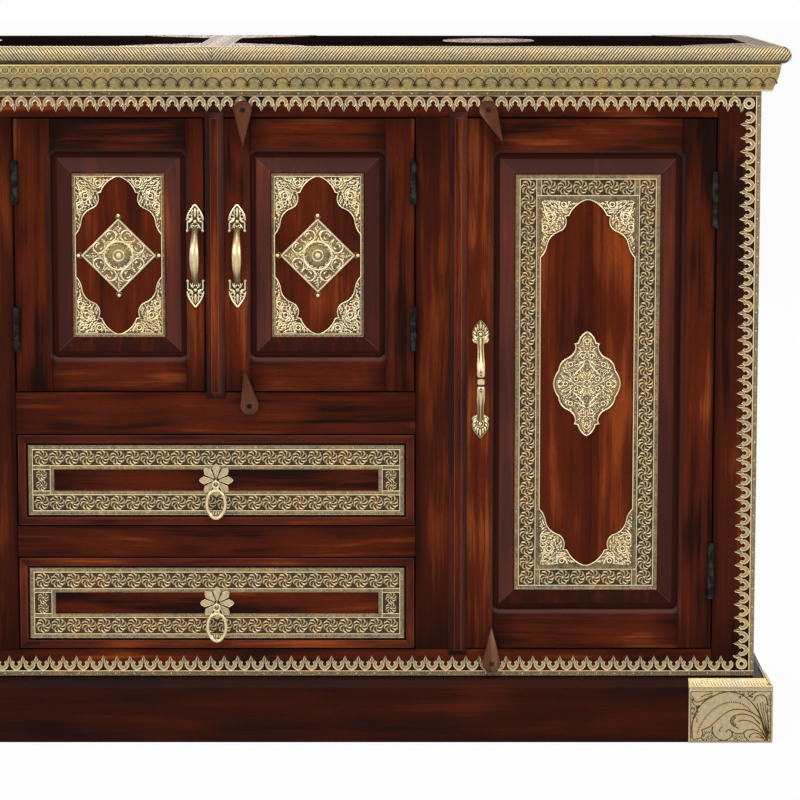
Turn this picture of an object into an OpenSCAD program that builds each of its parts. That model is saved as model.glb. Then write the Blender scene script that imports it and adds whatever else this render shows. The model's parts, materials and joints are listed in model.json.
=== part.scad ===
// A brass-fitted Indian sideboard: two tall side cupboards, a pair of small
// cupboard doors and two drawers between them, on a plinth. Millimetres, +Z up,
// front towards -Y, origin on the floor under the middle of the top.

/* [Overall] */
// Width over the top's moulded edge
overall_w = 1450; // [1400:10:1600]
// Depth over the top's moulded edge
overall_d = 405; // [390:5:480]
// Height to the top surface
overall_h = 895; // [880:5:960]
// How far the top stands past the case at the front and at each side
top_over = 33; // [30:1:45]

/* [Top and cornice] */
// Thickness of the moulded rope edge
rope_h = 22.5; // [18:0.5:25]
// Depth of the rope edge, from its nose to the board that it is planted on
rope_depth = 14; // [13:1:20]
// Thickness of the brass plates laid on the top
inlay_t = 1; // [0.6:0.1:2]
// Width of the brass strap across the middle of the top
strap_w = 42; // [30:1:80]
// Width of the brass strap along each end of the top
end_strap_w = 27; // [16:1:40]
// Width of a corner plate on the top, from its strap
plate_w = 98; // [70:1:125]
// Depth of a corner plate on the top, from the front or the rear edge
plate_d = 105; // [70:1:140]
// Half width of the medallion on each dark field
top_medal_w = 66; // [45:1:90]
// Half depth of the medallion on each dark field
top_medal_d = 76; // [45:1:100]
// Height of the cornice under the rope edge
cornice_h = 34.5; // [28:0.5:46]
// Overhang of the cornice at its foot
cornice_foot = 11.5; // [8:0.5:14]
// Overhang of the cornice at its top
cornice_over = 23; // [18:0.5:28]

/* [Plinth] */
// Height of the plinth
plinth_h = 81; // [60:1:110]
// How far the plinth's face stands past the case
plinth_over = 21; // [10:0.5:28]
// Thickness of the plinth boards
plinth_t = 26; // [22:1:34]
// Height of the bevel along the plinth's top edge
plinth_bevel = 9; // [5:1:15]
// Thickness of the brass corner caps
cap_t = 1.5; // [1:0.1:3]
// Width of a corner cap on the front
cap_w = 108; // [70:1:140]
// Width of a corner cap on the side
cap_side_w = 70; // [40:1:110]

/* [Case] */
// Thickness of the face frame
frame_t = 20; // [16:1:26]
// Width of the outer stiles
outer_stile_w = 54.5; // [45:0.5:70]
// Width of the stiles beside the middle bay
mid_stile_w = 51; // [45:1:70]
// Half width of the opening of the middle bay
bay_half = 255.5; // [225:0.5:300]
// Height of the bottom rail above the plinth
bottom_rail_h = 36; // [28:1:50]
// Depth of the top rail under the top board
top_rail_h = 68; // [56:0.5:86]
// Height of the lower drawer opening
lower_drawer_h = 121.5; // [100:0.5:135]
// Height of the rail between the drawers
drawer_rail_h = 40; // [25:1:50]
// Height of the upper drawer opening
upper_drawer_h = 120; // [100:0.5:135]
// Height of the rail under the small doors
middle_rail_h = 54; // [45:1:66]
// Thickness of side boards, partitions and floors
board_t = 18; // [14:1:22]
// Thickness of the back
back_t = 8; // [6:1:12]
// How far the back is set in from the rear edge
back_inset = 8; // [4:1:16]
// Width of the side frames' stiles
side_stile_w = 55; // [40:1:80]
// Height of the side frames' rails
side_rail_h = 70; // [50:1:100]
// Thickness of the panels in the side frames
side_panel_t = 8; // [6:1:12]
// Height of the shelves in the tall cupboards, above their floor
shelf_z = 340; // [200:10:480]
// How far those shelves stop behind the face frame
shelf_in = 46; // [10:2:120]

/* [Doors] */
// Clearance round doors and drawers
gap = 1.5; // [1.5:0.1:3]
// Thickness of the doors
door_t = 22; // [19:1:26]
// Width of the frame members of the small doors, hinge side
small_stile_w = 42; // [32:0.5:48]
// Distance of a small door's panel opening from the middle of the case
inner_light = 41; // [36:0.5:46]
// How far the panel openings of both small doors stand to the right of their mirrored places
small_light_shift = 4.5; // [0:0.5:8]
// Height of the top rail of the small doors
small_top_w = 43; // [34:1:50]
// Height of the bottom rail of the small doors
small_foot_w = 43; // [30:0.5:48]
// Width of a tall door's stile on the meeting side
tall_stile_w = 47.5; // [34:0.5:56]
// Width of its stile on the hinge side
tall_hinge_stile_w = 43; // [34:0.5:52]
// Height of the top rail of a tall door
tall_top_w = 44.5; // [36:0.5:58]
// Height of the bottom rail of a tall door
tall_foot_w = 50; // [36:0.5:58]
// Corner radius of the openings in the door frames
light_r = 9; // [3:1:14]
// Depth of the panel groove behind the door's front face
groove_y = 9; // [7:0.5:11]
// Thickness of a panel's edge in the groove
panel_edge_t = 6; // [4:0.5:8]
// How deep the panels sit in the frames
groove_d = 7; // [4:1:10]
// How far the raised field lies behind the door's front face
field_y = 3; // [2:0.5:5]
// Gap between the frame and the foot of the bevel
bevel_gap = 7.5; // [3:0.5:10]
// Width of the bevel round the raised field
bevel_w = 18; // [12:1:26]

/* [Cover strips] */
// Width of the strip over the meeting edge of the small doors
centre_strip_w = 25; // [20:1:32]
// How far that strip's middle lies left of the middle of the case
centre_strip_shift = 0; // [0:0.5:5]
// Width of the strip on the meeting edge of a tall door
side_strip_w = 23; // [18:1:36]
// Overlap of that strip over the frame's stile
side_strip_lap = 8.5; // [5:0.5:18]
// Thickness of the strips
strip_t = 8; // [5:0.5:11]
// How far the strips run past their doors at each end
strip_past = 8; // [2:0.5:9]

/* [Brass] */
// Thickness of the sheet brass on doors and drawers
brass_t = 1.4; // [1:0.1:1.8]
// Height of the medallions over the sheet
medal_t = 1.6; // [1:0.1:2.2]
// Margin between a panel's bevel and its brass
brass_margin = 1.5; // [0.5:0.5:4]
// Width of the narrow brass border of the small doors
small_border_w = 4.5; // [3:0.5:9]
// Width of the rosette border of the tall doors
tall_border_w = 32.5; // [24:0.5:38]
// Half diagonal of the small doors' medallion
lozenge_r = 50; // [40:1:52]
// Half width of the tall doors' medallion
medal_w = 43; // [34:1:48]
// Half height of the tall doors' medallion
medal_h = 69; // [56:1:80]
// Radius of the boss in the middle of a medallion
boss_r = 16; // [10:1:19]
// Thickness of the fringe on the face frame
fringe_t = 1.5; // [1:0.1:2]
// Width of the fringe's nailed margin and bead
fringe_margin = 12; // [8:1:14]
// Length of the fringe's teeth
fringe_tooth = 14.5; // [10:0.5:15]
// Distance from tooth to tooth
fringe_pitch = 17.3; // [14:0.1:24]

/* [Handles] */
// Length of the small doors' handles
small_handle_l = 132; // [110:1:160]
// Length of the tall doors' handles
tall_handle_l = 152; // [130:1:190]
// Height of the middle of the tall doors' handles
tall_handle_z = 470; // [400:5:560]
// Length of a handle's leaf plate
leaf_l = 36; // [28:1:42]
// Width of a handle's leaf plate
leaf_w = 21; // [16:1:24]
// Thickness of a leaf plate
leaf_t = 2; // [1.5:0.5:3]
// Radius of the grip
grip_r = 4.5; // [3.5:0.5:6]
// How far the grip stands out from the door
grip_out = 27; // [22:1:29]

/* [Drawers] */
// Thickness of the drawer fronts
front_t = 20; // [16:1:26]
// Width of the raised lip round a drawer front
lip_w = 13; // [8:0.5:16]
// Depth of the sunk field inside the lip
sunk_d = 2.5; // [2:0.5:4]
// Height of the plain field between the brass strips of a drawer
drawer_field_h = 28; // [20:1:36]
// Width of the brass end blocks of a drawer
end_block_w = 33; // [20:1:44]
// Thickness of the drawer sides and back
drawer_side_t = 12; // [9:1:16]
// Thickness of the drawer bottoms
drawer_bottom_t = 6; // [4:1:9]
// Clearance between a drawer's back and the back of the case
drawer_back_gap = 21; // [6:1:90]
// Free height over the drawer sides
drawer_top_gap = 10; // [5:1:25]
// Running clearance of the drawers
run_gap = 0.4; // [0.3:0.1:1]
// Thickness of the guides beside the drawers
guide_t = 4; // [3:0.5:6]
// Height of the guides beside the drawers
guide_h = 22; // [14:1:36]
// Width of the kicker strips over the drawers
kicker_w = 22; // [14:1:34]
// Height of the kicker strips
kicker_h = 13; // [8:1:18]

/* [Ring pulls] */
// Radius of the flower plate of a ring pull
flower_r = 21; // [16:1:25]
// Thickness of the flower plate
flower_t = 2.4; // [1.5:0.1:2.8]
// Distance of the ring's pin in front of the flower plate's back
pin_out = 8.6; // [8:0.2:11]
// Thickness of the ears that hold the ring's pin
ear_t = 2; // [1.5:0.5:3]
// Radius of the ring's pin
pin_r = 1.8; // [1.2:0.1:2.2]
// Clearance of the ring on its pin
pin_gap = 0.1; // [0.05:0.05:0.2]
// Width of the ring
ring_w = 27.6; // [22:0.2:32]
// Drop of the ring from its pin to its lowest point
ring_drop = 50; // [42:1:56]
// Thickness of the ring
ring_t = 4.6; // [3:0.2:6]
// Width of the bars of the ring
ring_bar = 4.2; // [3:0.1:6]

/* [Hinges] */
// Radius of the hinge knuckles
knuckle_r = 4; // [3.4:0.2:4.2]
// Radius of the hinge pins
hinge_pin_r = 1.6; // [1:0.1:2]
// Distance of the hinge pins in front of the door's face
hinge_out = 4.3; // [4.3:0.1:5.5]
// Distance of the hinge pins in from the door's edge
pin_in = 1.5; // [1.3:0.1:2]
// Height of the small doors' hinges
small_hinge_h = 56; // [44:1:70]
// Height of the tall doors' hinges
tall_hinge_h = 72; // [56:1:90]
// Clearance of the knuckles on the hinge pins
knuckle_gap = 0.1; // [0.05:0.05:0.2]
// Thickness of the hinge leaves
leaf_plate_t = 1.2; // [1:0.1:1.4]
// Depth of the hinge leaves behind the door's face
leaf_plate_d = 16; // [10:1:18]
// Distance from a small door's end to its hinge
small_hinge_in = 53; // [30:1:90]
// Distance from a tall door's end to its hinge
tall_hinge_in = 67; // [40:1:120]

/* [Turn buttons] */
// Radius of a turn button's head
button_r = 11.6; // [9:0.2:12]
// Distance from a turn button's screw to its tip
button_l = 48; // [38:1:54]
// Thickness of a turn button
button_t = 8; // [5:0.5:10]
// Clearance between a turn button and what it turns over
button_gap = 0.4; // [0.3:0.1:0.6]
// Radius of a turn button's screw head
screw_r = 3.2; // [2.4:0.2:4.4]
// Height of a turn button's screw head
screw_h = 1.5; // [0.8:0.1:2.5]
// Tilt of the upper turn buttons of the tall doors
button_tilt = 24; // [0:1:30]
// Tilt of the small doors' lower turn button
lower_button_tilt = 7.5; // [0:0.5:12]
// Distance of the small doors' upper button from the middle of the case
small_button_in = 37; // [28:1:60]
// Distance of a tall door's upper button from the door's meeting edge
side_button_in = 39; // [30:0.5:80]
// How much further out the lower buttons sit
button_shift = 6.5; // [0:0.5:10]
// Height of the upper buttons' screws above the doors' opening
button_up = 10; // [4:0.5:14]
// Depth of the lower buttons' screws below the doors' opening
button_down = 16.5; // [12:0.5:18]

/* [Hidden] */
$fn = 32;

// Colours
WOOD = [0.36, 0.15, 0.08];
WOOD_DARK = [0.24, 0.1, 0.06];
WOOD_RAW = [0.55, 0.38, 0.22];
BRASS = [0.74, 0.66, 0.45];
IRON = [0.08, 0.08, 0.08];
BUTTON = [0.38, 0.23, 0.15];

// A hairline that keeps glued pieces apart as separate solids
hair = 0.15;
// Room past a shape that a cut needs
cut = 1;

// Planes of the case
front = -overall_d / 2 + top_over;
rear = overall_d / 2;
case_half = overall_w / 2 - top_over;
inner_y = front + frame_t;
back_y = rear - back_inset - back_t;
side_in = case_half - board_t;

// Levels
rope_z = overall_h - rope_h;
case_top = rope_z;
floor_z = plinth_h + bottom_rail_h;
drawer_rail_z = floor_z + lower_drawer_h;
upper_z = drawer_rail_z + drawer_rail_h;
middle_rail_z = upper_z + upper_drawer_h;
small_z = middle_rail_z + middle_rail_h;
head_z = case_top - top_rail_h;

// Openings of the face frame
tall_in = bay_half + mid_stile_w;
tall_out = case_half - outer_stile_w;

// Doors: extents in x and z. The small doors part at the left edge of the strip.
small_door_z = [small_z + gap, head_z - gap];
tall_door_z = [floor_z + gap, head_z - gap];
strip_left = -centre_strip_w / 2 - centre_strip_shift;
small_left_x = [-bay_half + gap, strip_left - gap / 2];
small_right_x = [strip_left + gap / 2, bay_half - gap];
tall_right_x = [tall_in + gap, tall_out - gap];

// Openings of the door frames, as the panels show in them
small_light_x = [inner_light + small_light_shift, bay_half - gap - small_stile_w + small_light_shift];
small_left_light_x = [for (x = small_light_x) x - 2 * small_light_shift];
small_light_z = [small_door_z[0] + small_foot_w, small_door_z[1] - small_top_w];
tall_light_x = [tall_right_x[0] + tall_stile_w, tall_right_x[1] - tall_hinge_stile_w];
tall_light_z = [tall_door_z[0] + tall_foot_w, tall_door_z[1] - tall_top_w];

// Brass fields on the panels
brass_in = bevel_gap + bevel_w + brass_margin;

// Strips
side_strip_x = [tall_right_x[0] - gap - side_strip_lap, tall_right_x[0] - gap - side_strip_lap + side_strip_w];

// Hinges
small_pin_x = bay_half - gap - pin_in;
tall_pin_x = tall_out - gap - pin_in;
small_hinge_z = [small_door_z[0] + small_hinge_in, small_door_z[1] - small_hinge_in - small_hinge_h];
tall_hinge_z = [tall_door_z[0] + tall_hinge_in, tall_door_z[1] - tall_hinge_in - tall_hinge_h];

// Drawers
drawer_half = bay_half - gap;
box_half = bay_half - guide_t - run_gap;

// Half height of the ears that hold a ring's pin
ear_rise = pin_r + 1;

// Boxes and runs

// A box between two corners
module box(a, b) {
    translate(a) cube(b - a);
}

// A profile of [out, z] points, run along the front past both corners, out towards -Y
module front_run(profile) {
    half = overall_w;
    translate([-half, front, 0]) rotate([90, 0, 90]) linear_extrude(2 * half)
        polygon([for (p = profile) [-p[0], p[1]]]);
}

// The same profile run along the right side, out towards +X
module side_run(profile, y_end) {
    translate([case_half, y_end, 0]) rotate([90, 0, 0]) linear_extrude(y_end - front + overall_d)
        polygon(profile);
}

// Plan of the front's share of a mitred moulding
module front_zone() {
    reach = overall_d;
    translate([0, 0, -cut]) linear_extrude(overall_h + 2 * cut) polygon([
        [-case_half - reach, front - reach], [case_half + reach, front - reach],
        [case_half - reach / 2, front + reach / 2], [-case_half + reach / 2, front + reach / 2]]);
}

// Plan of the right side's share, a hairline short of the front's
module side_zone() {
    reach = overall_d;
    translate([0, 0, -cut]) linear_extrude(overall_h + 2 * cut) polygon([
        [case_half + reach, front - reach + hair], [case_half + reach, rear + cut],
        [case_half - reach / 2, rear + cut], [case_half - reach / 2, front + reach / 2 + hair]]);
}

// A moulding that wraps the front and both sides, as three mitred lengths
module wrapped(profile, y_end) {
    intersection() {
        front_run(profile);
        front_zone();
    }
    for (m = [0, 1]) mirror([m, 0, 0]) intersection() {
        side_run(profile, y_end);
        side_zone();
    }
}

// Points of an arc from a to b whose middle stands s off the chord, to its left
function arc_points(a, b, s, n) =
    let (c = norm(b - a), r = (c * c / 4 + s * s) / (2 * abs(s)),
         m = (a + b) / 2, u = (b - a) / c, v = [-u[1], u[0]],
         side = s > 0 ? 1 : -1,
         o = m - side * (r - abs(s)) * v,
         half = asin(c / 2 / r))
    [for (i = [1:n]) let (t = half - i * 2 * half / n)
        o + r * (cos(t) * side * v - sin(t) * u)];

// Carcass

plinth_profile = [
    [plinth_over - plinth_t, 0], [plinth_over, 0], [plinth_over, plinth_h - plinth_bevel],
    [plinth_over - plinth_bevel, plinth_h], [plinth_over - plinth_t, plinth_h]];

module plinth() color(WOOD_DARK) {
    wrapped(plinth_profile, rear - plinth_t - hair);
    box([-case_half - plinth_over, rear - plinth_t, 0], [case_half + plinth_over, rear, plinth_h]);
}

// Brass round the plinth's front corners: a face and a flange on the bevel
module plinth_caps() {
    over = plinth_over + hair;
    out = over + cap_t;
    bevel_z = plinth_h - plinth_bevel;
    profile = [
        [over, 0], [out, 0], [out, bevel_z + cap_t / 2], [over - plinth_bevel + cap_t / 2, plinth_h + cap_t],
        [over - plinth_bevel, plinth_h + cap_t / 2], [over, bevel_z + cap_t / 4]];
    corner_x = case_half + out;
    corner_y = front - out;
    color(BRASS) for (m = [0, 1]) mirror([m, 0, 0]) intersection() {
        union() {
            intersection() {
                front_run(profile);
                front_zone();
            }
            intersection() {
                side_run(profile, rear);
                translate([0, -hair, 0]) side_zone();
            }
        }
        box([corner_x - cap_w, corner_y - cut, -cut], [corner_x + cut, corner_y + cap_side_w, plinth_h + 2 * cap_t]);
    }
}

// A side of the case: a frame of stiles and rails with a thin panel
module side_right() color(WOOD) {
    y0 = inner_y + hair;
    y1 = rear - back_inset / 2;
    z0 = plinth_h;
    z1 = case_top - hair;
    for (y = [y0, y1 - side_stile_w]) box([side_in, y, z0], [case_half, y + side_stile_w, z1]);
    for (z = [z0, z1 - side_rail_h])
        box([side_in, y0 + side_stile_w + hair, z], [case_half, y1 - side_stile_w - hair, z + side_rail_h]);
    panel_x = side_in + (board_t - side_panel_t) / 2;
    box([panel_x, y0 + side_stile_w + hair, z0 + side_rail_h + hair],
        [panel_x + side_panel_t, y1 - side_stile_w - hair, z1 - side_rail_h - hair]);
}

module side_left() mirror([1, 0, 0]) side_right();

module partitions() color(WOOD_RAW) for (m = [0, 1]) mirror([m, 0, 0])
    box([bay_half, inner_y + hair, floor_z + hair], [bay_half + board_t, back_y - hair, case_top - hair]);

module base_board() color(WOOD_RAW)
    box([-side_in + hair, inner_y + hair, floor_z - board_t], [side_in - hair, back_y - hair, floor_z]);

module back_panel() color(WOOD_DARK)
    box([-side_in + hair, back_y, plinth_h + hair], [side_in - hair, back_y + back_t, case_top - hair]);

board_half = overall_w / 2 - rope_depth;
board_front = -overall_d / 2 + rope_depth;
board_top = overall_h - inlay_t;

module top_board() color(WOOD_DARK)
    box([-board_half, board_front, case_top], [board_half, rear, board_top]);

// The rope edge: a half round nose on a strip, planted on the board's edge
module top_rope() {
    nose = rope_h / 2;
    foot = top_over - rope_depth + hair;
    module length_of(l) linear_extrude(l) {
        intersection() {
            translate([top_over - nose, rope_z + nose]) circle(r = nose);
            translate([foot, rope_z]) square([top_over - foot, rope_h]);
        }
        translate([foot, rope_z]) square([top_over - nose - foot, rope_h]);
    }
    color(BRASS) {
        intersection() {
            translate([-overall_w, front, 0]) rotate([90, 0, 90]) mirror([1, 0, 0]) length_of(2 * overall_w);
            front_zone();
        }
        for (m = [0, 1]) mirror([m, 0, 0]) intersection() {
            translate([case_half, rear, 0]) rotate([90, 0, 0]) length_of(2 * overall_d);
            side_zone();
        }
    }
}

// The lobed edge of a corner plate, from its strap to the top's front or rear edge,
// as shares of its width and depth, and the lobes' rise
plate_cusps = [[0, 1], [0.34, 0.7], [0.78, 0.4], [1, 0]];
plate_rise = [4, 5, 4];
plate_edge = let (p = [for (c = plate_cusps) [c[0] * plate_w, c[1] * plate_d]])
    concat([p[0]], [for (i = [0:2]) each arc_points(p[i], p[i + 1], plate_rise[i], 4)]);

// The medallion on a dark field: eight lobes, drawn out a little from front to rear
medal_cusp = 0.93;
function medal_point(i) = let (a = 45 * i + 22.5)
    [medal_cusp * top_medal_w * cos(a), medal_cusp * top_medal_d * sin(a)];
top_medal = [for (i = [0:7]) each arc_points(medal_point(i), medal_point(i + 1), -4, 4)];

// Brass on the top: straps across its middle and its ends, a corner plate where each
// strap meets the front and the rear edge, and a medallion on each dark field
module top_inlay() {
    x0 = strap_w / 2;
    x1 = board_half - end_strap_w;
    depth = rear - board_front;
    y = (rear + board_front) / 2;
    module plate() polygon(concat([[-strap_w / 4, 0], [-strap_w / 4, plate_d]], plate_edge));
    color(BRASS) translate([0, 0, board_top]) linear_extrude(inlay_t) {
        translate([-x0, board_front]) square([strap_w, depth]);
        for (m = [0, 1]) mirror([m, 0]) {
            translate([x1, board_front]) square([end_strap_w, depth]);
            translate([0, y]) for (n = [0, 1]) mirror([0, n]) {
                translate([x0, -depth / 2]) plate();
                translate([x1, -depth / 2]) mirror([1, 0]) plate();
            }
            translate([(x0 + x1) / 2, y]) polygon(top_medal);
        }
    }
}

// The moulding under the rope edge, clad with sheet brass
module cornice() {
    z = case_top - cornice_h;
    steps = 6;
    rise = cornice_h - 2;
    swell = [for (i = [0:steps]) [
        cornice_foot + (cornice_over - 2 - cornice_foot) * sin(90 * i / steps), z + rise * i / steps]];
    profile = concat([[0, z]], swell, [[cornice_over, z + rise], [cornice_over, case_top - hair], [0, case_top - hair]]);
    color(BRASS) wrapped(profile, rear - back_inset / 2);
}

module shelves() color(WOOD_RAW) for (m = [0, 1]) mirror([m, 0, 0])
    box([bay_half + board_t + hair, inner_y + shelf_in, floor_z + shelf_z],
        [side_in - hair, back_y - hair, floor_z + shelf_z + board_t]);

// The floor under the small doors and the one between the drawers
module cupboard_floors() color(WOOD_RAW) for (z = [small_z, upper_z])
    box([-bay_half + hair, inner_y + hair, z - board_t], [bay_half - hair, back_y - hair, z]);

// Guides beside the drawers and kickers over them
module drawer_guides() color(WOOD_RAW) for (m = [0, 1]) mirror([m, 0, 0]) for (z = [floor_z, upper_z]) {
    box([bay_half - guide_t, inner_y + hair, z + hair], [bay_half - hair, back_y - hair, z + guide_h]);
    top = z == floor_z ? drawer_rail_z : middle_rail_z;
    box([bay_half - kicker_w, inner_y + hair, top], [bay_half - hair, back_y - hair, top + kicker_h]);
}

// Face frame

module rail_top() color(WOOD)
    box([-tall_out + hair, front, head_z], [tall_out - hair, inner_y, case_top - hair]);

module rail_bottom() color(WOOD)
    box([-tall_out + hair, front, plinth_h], [tall_out - hair, inner_y, floor_z]);

module rail_middle() color(WOOD)
    box([-bay_half + hair, front, middle_rail_z], [bay_half - hair, inner_y, small_z]);

module rail_drawer() color(WOOD)
    box([-bay_half + hair, front, drawer_rail_z], [bay_half - hair, inner_y, upper_z]);

// Seats for the hinge leaves in the edge of a stile on the right of the middle
module leaf_seats(pin_x, edge_x, levels, h) {
    for (z = levels) box([edge_x - cut, front - cut, z - hair],
        [pin_x + pin_in + gap + leaf_plate_t + hair, front + leaf_plate_d + hair, z + h + hair]);
}

module stiles_outer() color(WOOD) for (m = [0, 1]) mirror([m, 0, 0]) difference() {
    box([tall_out, front, plinth_h], [case_half, inner_y, case_top - hair]);
    leaf_seats(tall_pin_x, tall_out, tall_hinge_z, tall_hinge_h);
}

module stiles_mid() color(WOOD) for (m = [0, 1]) mirror([m, 0, 0]) difference() {
    box([bay_half, front, floor_z + hair], [tall_in, inner_y, head_z - hair]);
    leaf_seats(small_pin_x, bay_half, small_hinge_z, small_hinge_h);
}

// One length of fringe in the plane: a margin with pointed teeth between the insets
module fringe_strip(l, inset) {
    run = l - 2 * inset;
    count = max(1, round(run / fringe_pitch));
    step = run / count;
    polygon(concat([[0, 0], [l, 0], [l, -fringe_margin]],
        [for (i = [count:-1:0]) each [
            if (i < count) [inset + (i + 0.5) * step, -fringe_margin - fringe_tooth],
            [inset + i * step, -fringe_margin]]],
        [[0, -fringe_margin]]));
}

module fringe() {
    z0 = plinth_h + cap_t + hair;
    z1 = case_top - cornice_h - hair;
    inset = fringe_margin + fringe_tooth;
    color(BRASS) {
        translate([-case_half, front, z1]) rotate([90, 0, 0]) linear_extrude(fringe_t)
            fringe_strip(2 * case_half, inset);
        translate([-case_half, front, z0]) mirror([0, 0, 1]) rotate([90, 0, 0]) linear_extrude(fringe_t)
            fringe_strip(2 * case_half, inset);
        for (m = [0, 1]) mirror([m, 0, 0])
            translate([case_half, front, z1 - fringe_margin - hair]) rotate([90, 0, 0])
                linear_extrude(fringe_t) rotate(-90)
                    fringe_strip(z1 - z0 - 2 * fringe_margin - 2 * hair, fringe_tooth);
    }
}

// Hinges

// Half a hinge on the right of its pin: end knuckles and a leaf, or the middle knuckle
module hinge_half(x, levels, h, on_frame) {
    third = h / 3;
    y = front - hinge_out;
    spans = on_frame ? [[0, third - hair], [2 * third + hair, h]] : [[third + hair, 2 * third - hair]];
    far = on_frame ? pin_in + gap : pin_in - leaf_plate_t;
    for (z = levels) translate([x, y, z]) difference() {
        union() {
            for (s = spans) {
                translate([0, 0, s[0]]) cylinder(r = knuckle_r, h = s[1] - s[0]);
                box([far, 0, s[0]], [far + leaf_plate_t, hinge_out + 2 * hair, s[1]]);
            }
            box([far, hinge_out + hair, 0], [far + leaf_plate_t, hinge_out + leaf_plate_d, h]);
        }
        translate([0, 0, -cut]) cylinder(r = hinge_pin_r + knuckle_gap, h = h + 2 * cut);
    }
}

module hinge_pins(x, levels, h)
    for (z = levels) translate([x, front - hinge_out, z]) cylinder(r = hinge_pin_r, h = h);

// Frame leaves and pins of all eight hinges
module hinge_frame_halves() color(IRON) for (m = [0, 1]) mirror([m, 0, 0]) {
    hinge_half(small_pin_x, small_hinge_z, small_hinge_h, true);
    hinge_half(tall_pin_x, tall_hinge_z, tall_hinge_h, true);
    hinge_pins(small_pin_x, small_hinge_z, small_hinge_h);
    hinge_pins(tall_pin_x, tall_hinge_z, tall_hinge_h);
}

module small_right_leaves() color(IRON) hinge_half(small_pin_x, small_hinge_z, small_hinge_h, false);
module small_left_leaves() mirror([1, 0, 0]) small_right_leaves();
module tall_right_leaves() color(IRON) hinge_half(tall_pin_x, tall_hinge_z, tall_hinge_h, false);
module tall_left_leaves() mirror([1, 0, 0]) tall_right_leaves();

// Doors

// A door frame of two stiles and two rails round a light with rounded corners,
// with a groove for the panel behind the light
module door_frame(xs, zs, light_x, light_z, pin_x, levels, h) {
    module light(grow, y0, y1) {
        r = light_r;
        translate([0, y1, 0]) rotate([90, 0, 0]) linear_extrude(y1 - y0) {
            translate([light_x[0] - grow, light_z[0] + r - grow])
                square([light_x[1] - light_x[0] + 2 * grow, light_z[1] - light_z[0] - 2 * r + 2 * grow]);
            translate([light_x[0] + r - grow, light_z[0] - grow])
                square([light_x[1] - light_x[0] - 2 * r + 2 * grow, light_z[1] - light_z[0] + 2 * grow]);
            for (x = [light_x[0] + r - grow, light_x[1] - r + grow], z = [light_z[0] + r - grow, light_z[1] - r + grow])
                translate([x, z]) circle(r = r);
        }
    }
    difference() {
        union() {
            box([xs[0], front, zs[0]], [light_x[0], front + door_t, zs[1]]);
            box([light_x[1], front, zs[0]], [xs[1], front + door_t, zs[1]]);
            box([light_x[0] + hair, front, zs[0]], [light_x[1] - hair, front + door_t, light_z[0]]);
            box([light_x[0] + hair, front, light_z[1]], [light_x[1] - hair, front + door_t, zs[1]]);
            for (x = [light_x[0], light_x[1]], z = [light_z[0], light_z[1]]) {
                s = x == light_x[0] ? 1 : -1;
                t = z == light_z[0] ? 1 : -1;
                box([min(x + s * hair, x + s * light_r), front, min(z, z + t * light_r)],
                    [max(x + s * hair, x + s * light_r), front + groove_y, max(z, z + t * light_r)]);
            }
        }
        light(0, front - cut, front + groove_y + hair);
        box([light_x[0] - groove_d, front + groove_y, light_z[0] - groove_d],
            [light_x[1] + groove_d, front + groove_y + panel_edge_t, light_z[1] + groove_d]);
        box([light_x[0], front + groove_y, light_z[0]], [light_x[1], front + door_t + cut, light_z[1]]);
        for (z = levels) box([pin_x + pin_in - leaf_plate_t - hair, front - cut, z - hair],
            [xs[1] + cut, front + leaf_plate_d + hair, z + h + hair]);
    }
}

// A panel whose edges sit in the grooves, with a bevelled raised field in front
module door_panel(light_x, light_z) {
    edge = groove_d - hair;
    y0 = front + groove_y + hair;
    box([light_x[0] - edge, y0, light_z[0] - edge],
        [light_x[1] + edge, front + groove_y + panel_edge_t - hair, light_z[1] + edge]);
    module slope(a, b) polygon([
        [a + bevel_gap, y0 + hair], [a + bevel_gap + bevel_w, front + field_y],
        [b - bevel_gap - bevel_w, front + field_y], [b - bevel_gap, y0 + hair]]);
    intersection() {
        translate([0, 0, light_z[0]]) linear_extrude(light_z[1] - light_z[0]) slope(light_x[0], light_x[1]);
        translate([light_x[0], 0, 0]) rotate([90, 0, 90]) linear_extrude(light_x[1] - light_x[0])
            rotate(90) mirror([0, 1]) slope(light_z[0], light_z[1]);
    }
}

// The cusps as shares of the half width and as drops from the top, and the lobes' rise
cusp_share = [0.42, 0.79];
cusp_drop = [22, 51, 76];
lobe_rise = [5, 4.5, 2.5];

// Cusped inner edge of the brass round a panel, one quarter, from its top's middle
// to the border: three lobes between cusps. Sizes follow the half width and half height.
function cusp_quarter(w, h) = let (
    top = [0, h],
    first = [cusp_share[0] * w, h - cusp_drop[0]],
    second = [cusp_share[1] * w, h - cusp_drop[1]],
    last = [w, h - cusp_drop[2]])
    concat([top], arc_points(top, first, lobe_rise[0], 4), arc_points(first, second, -lobe_rise[1], 4),
        arc_points(second, last, -lobe_rise[2], 3));

function reversed(p) = [for (i = [len(p) - 1:-1:0]) p[i]];

// The whole opening, from its four mirrored quarters
function cusp_outline(w, h) = let (q = cusp_quarter(w, h)) concat(
    q, [for (p = reversed(q)) [p[0], -p[1]]],
    [for (p = q) if (p[0] > 0) [-p[0], -p[1]]], [for (p = reversed(q)) if (p[0] > 0) [-p[0], p[1]]]);

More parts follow.
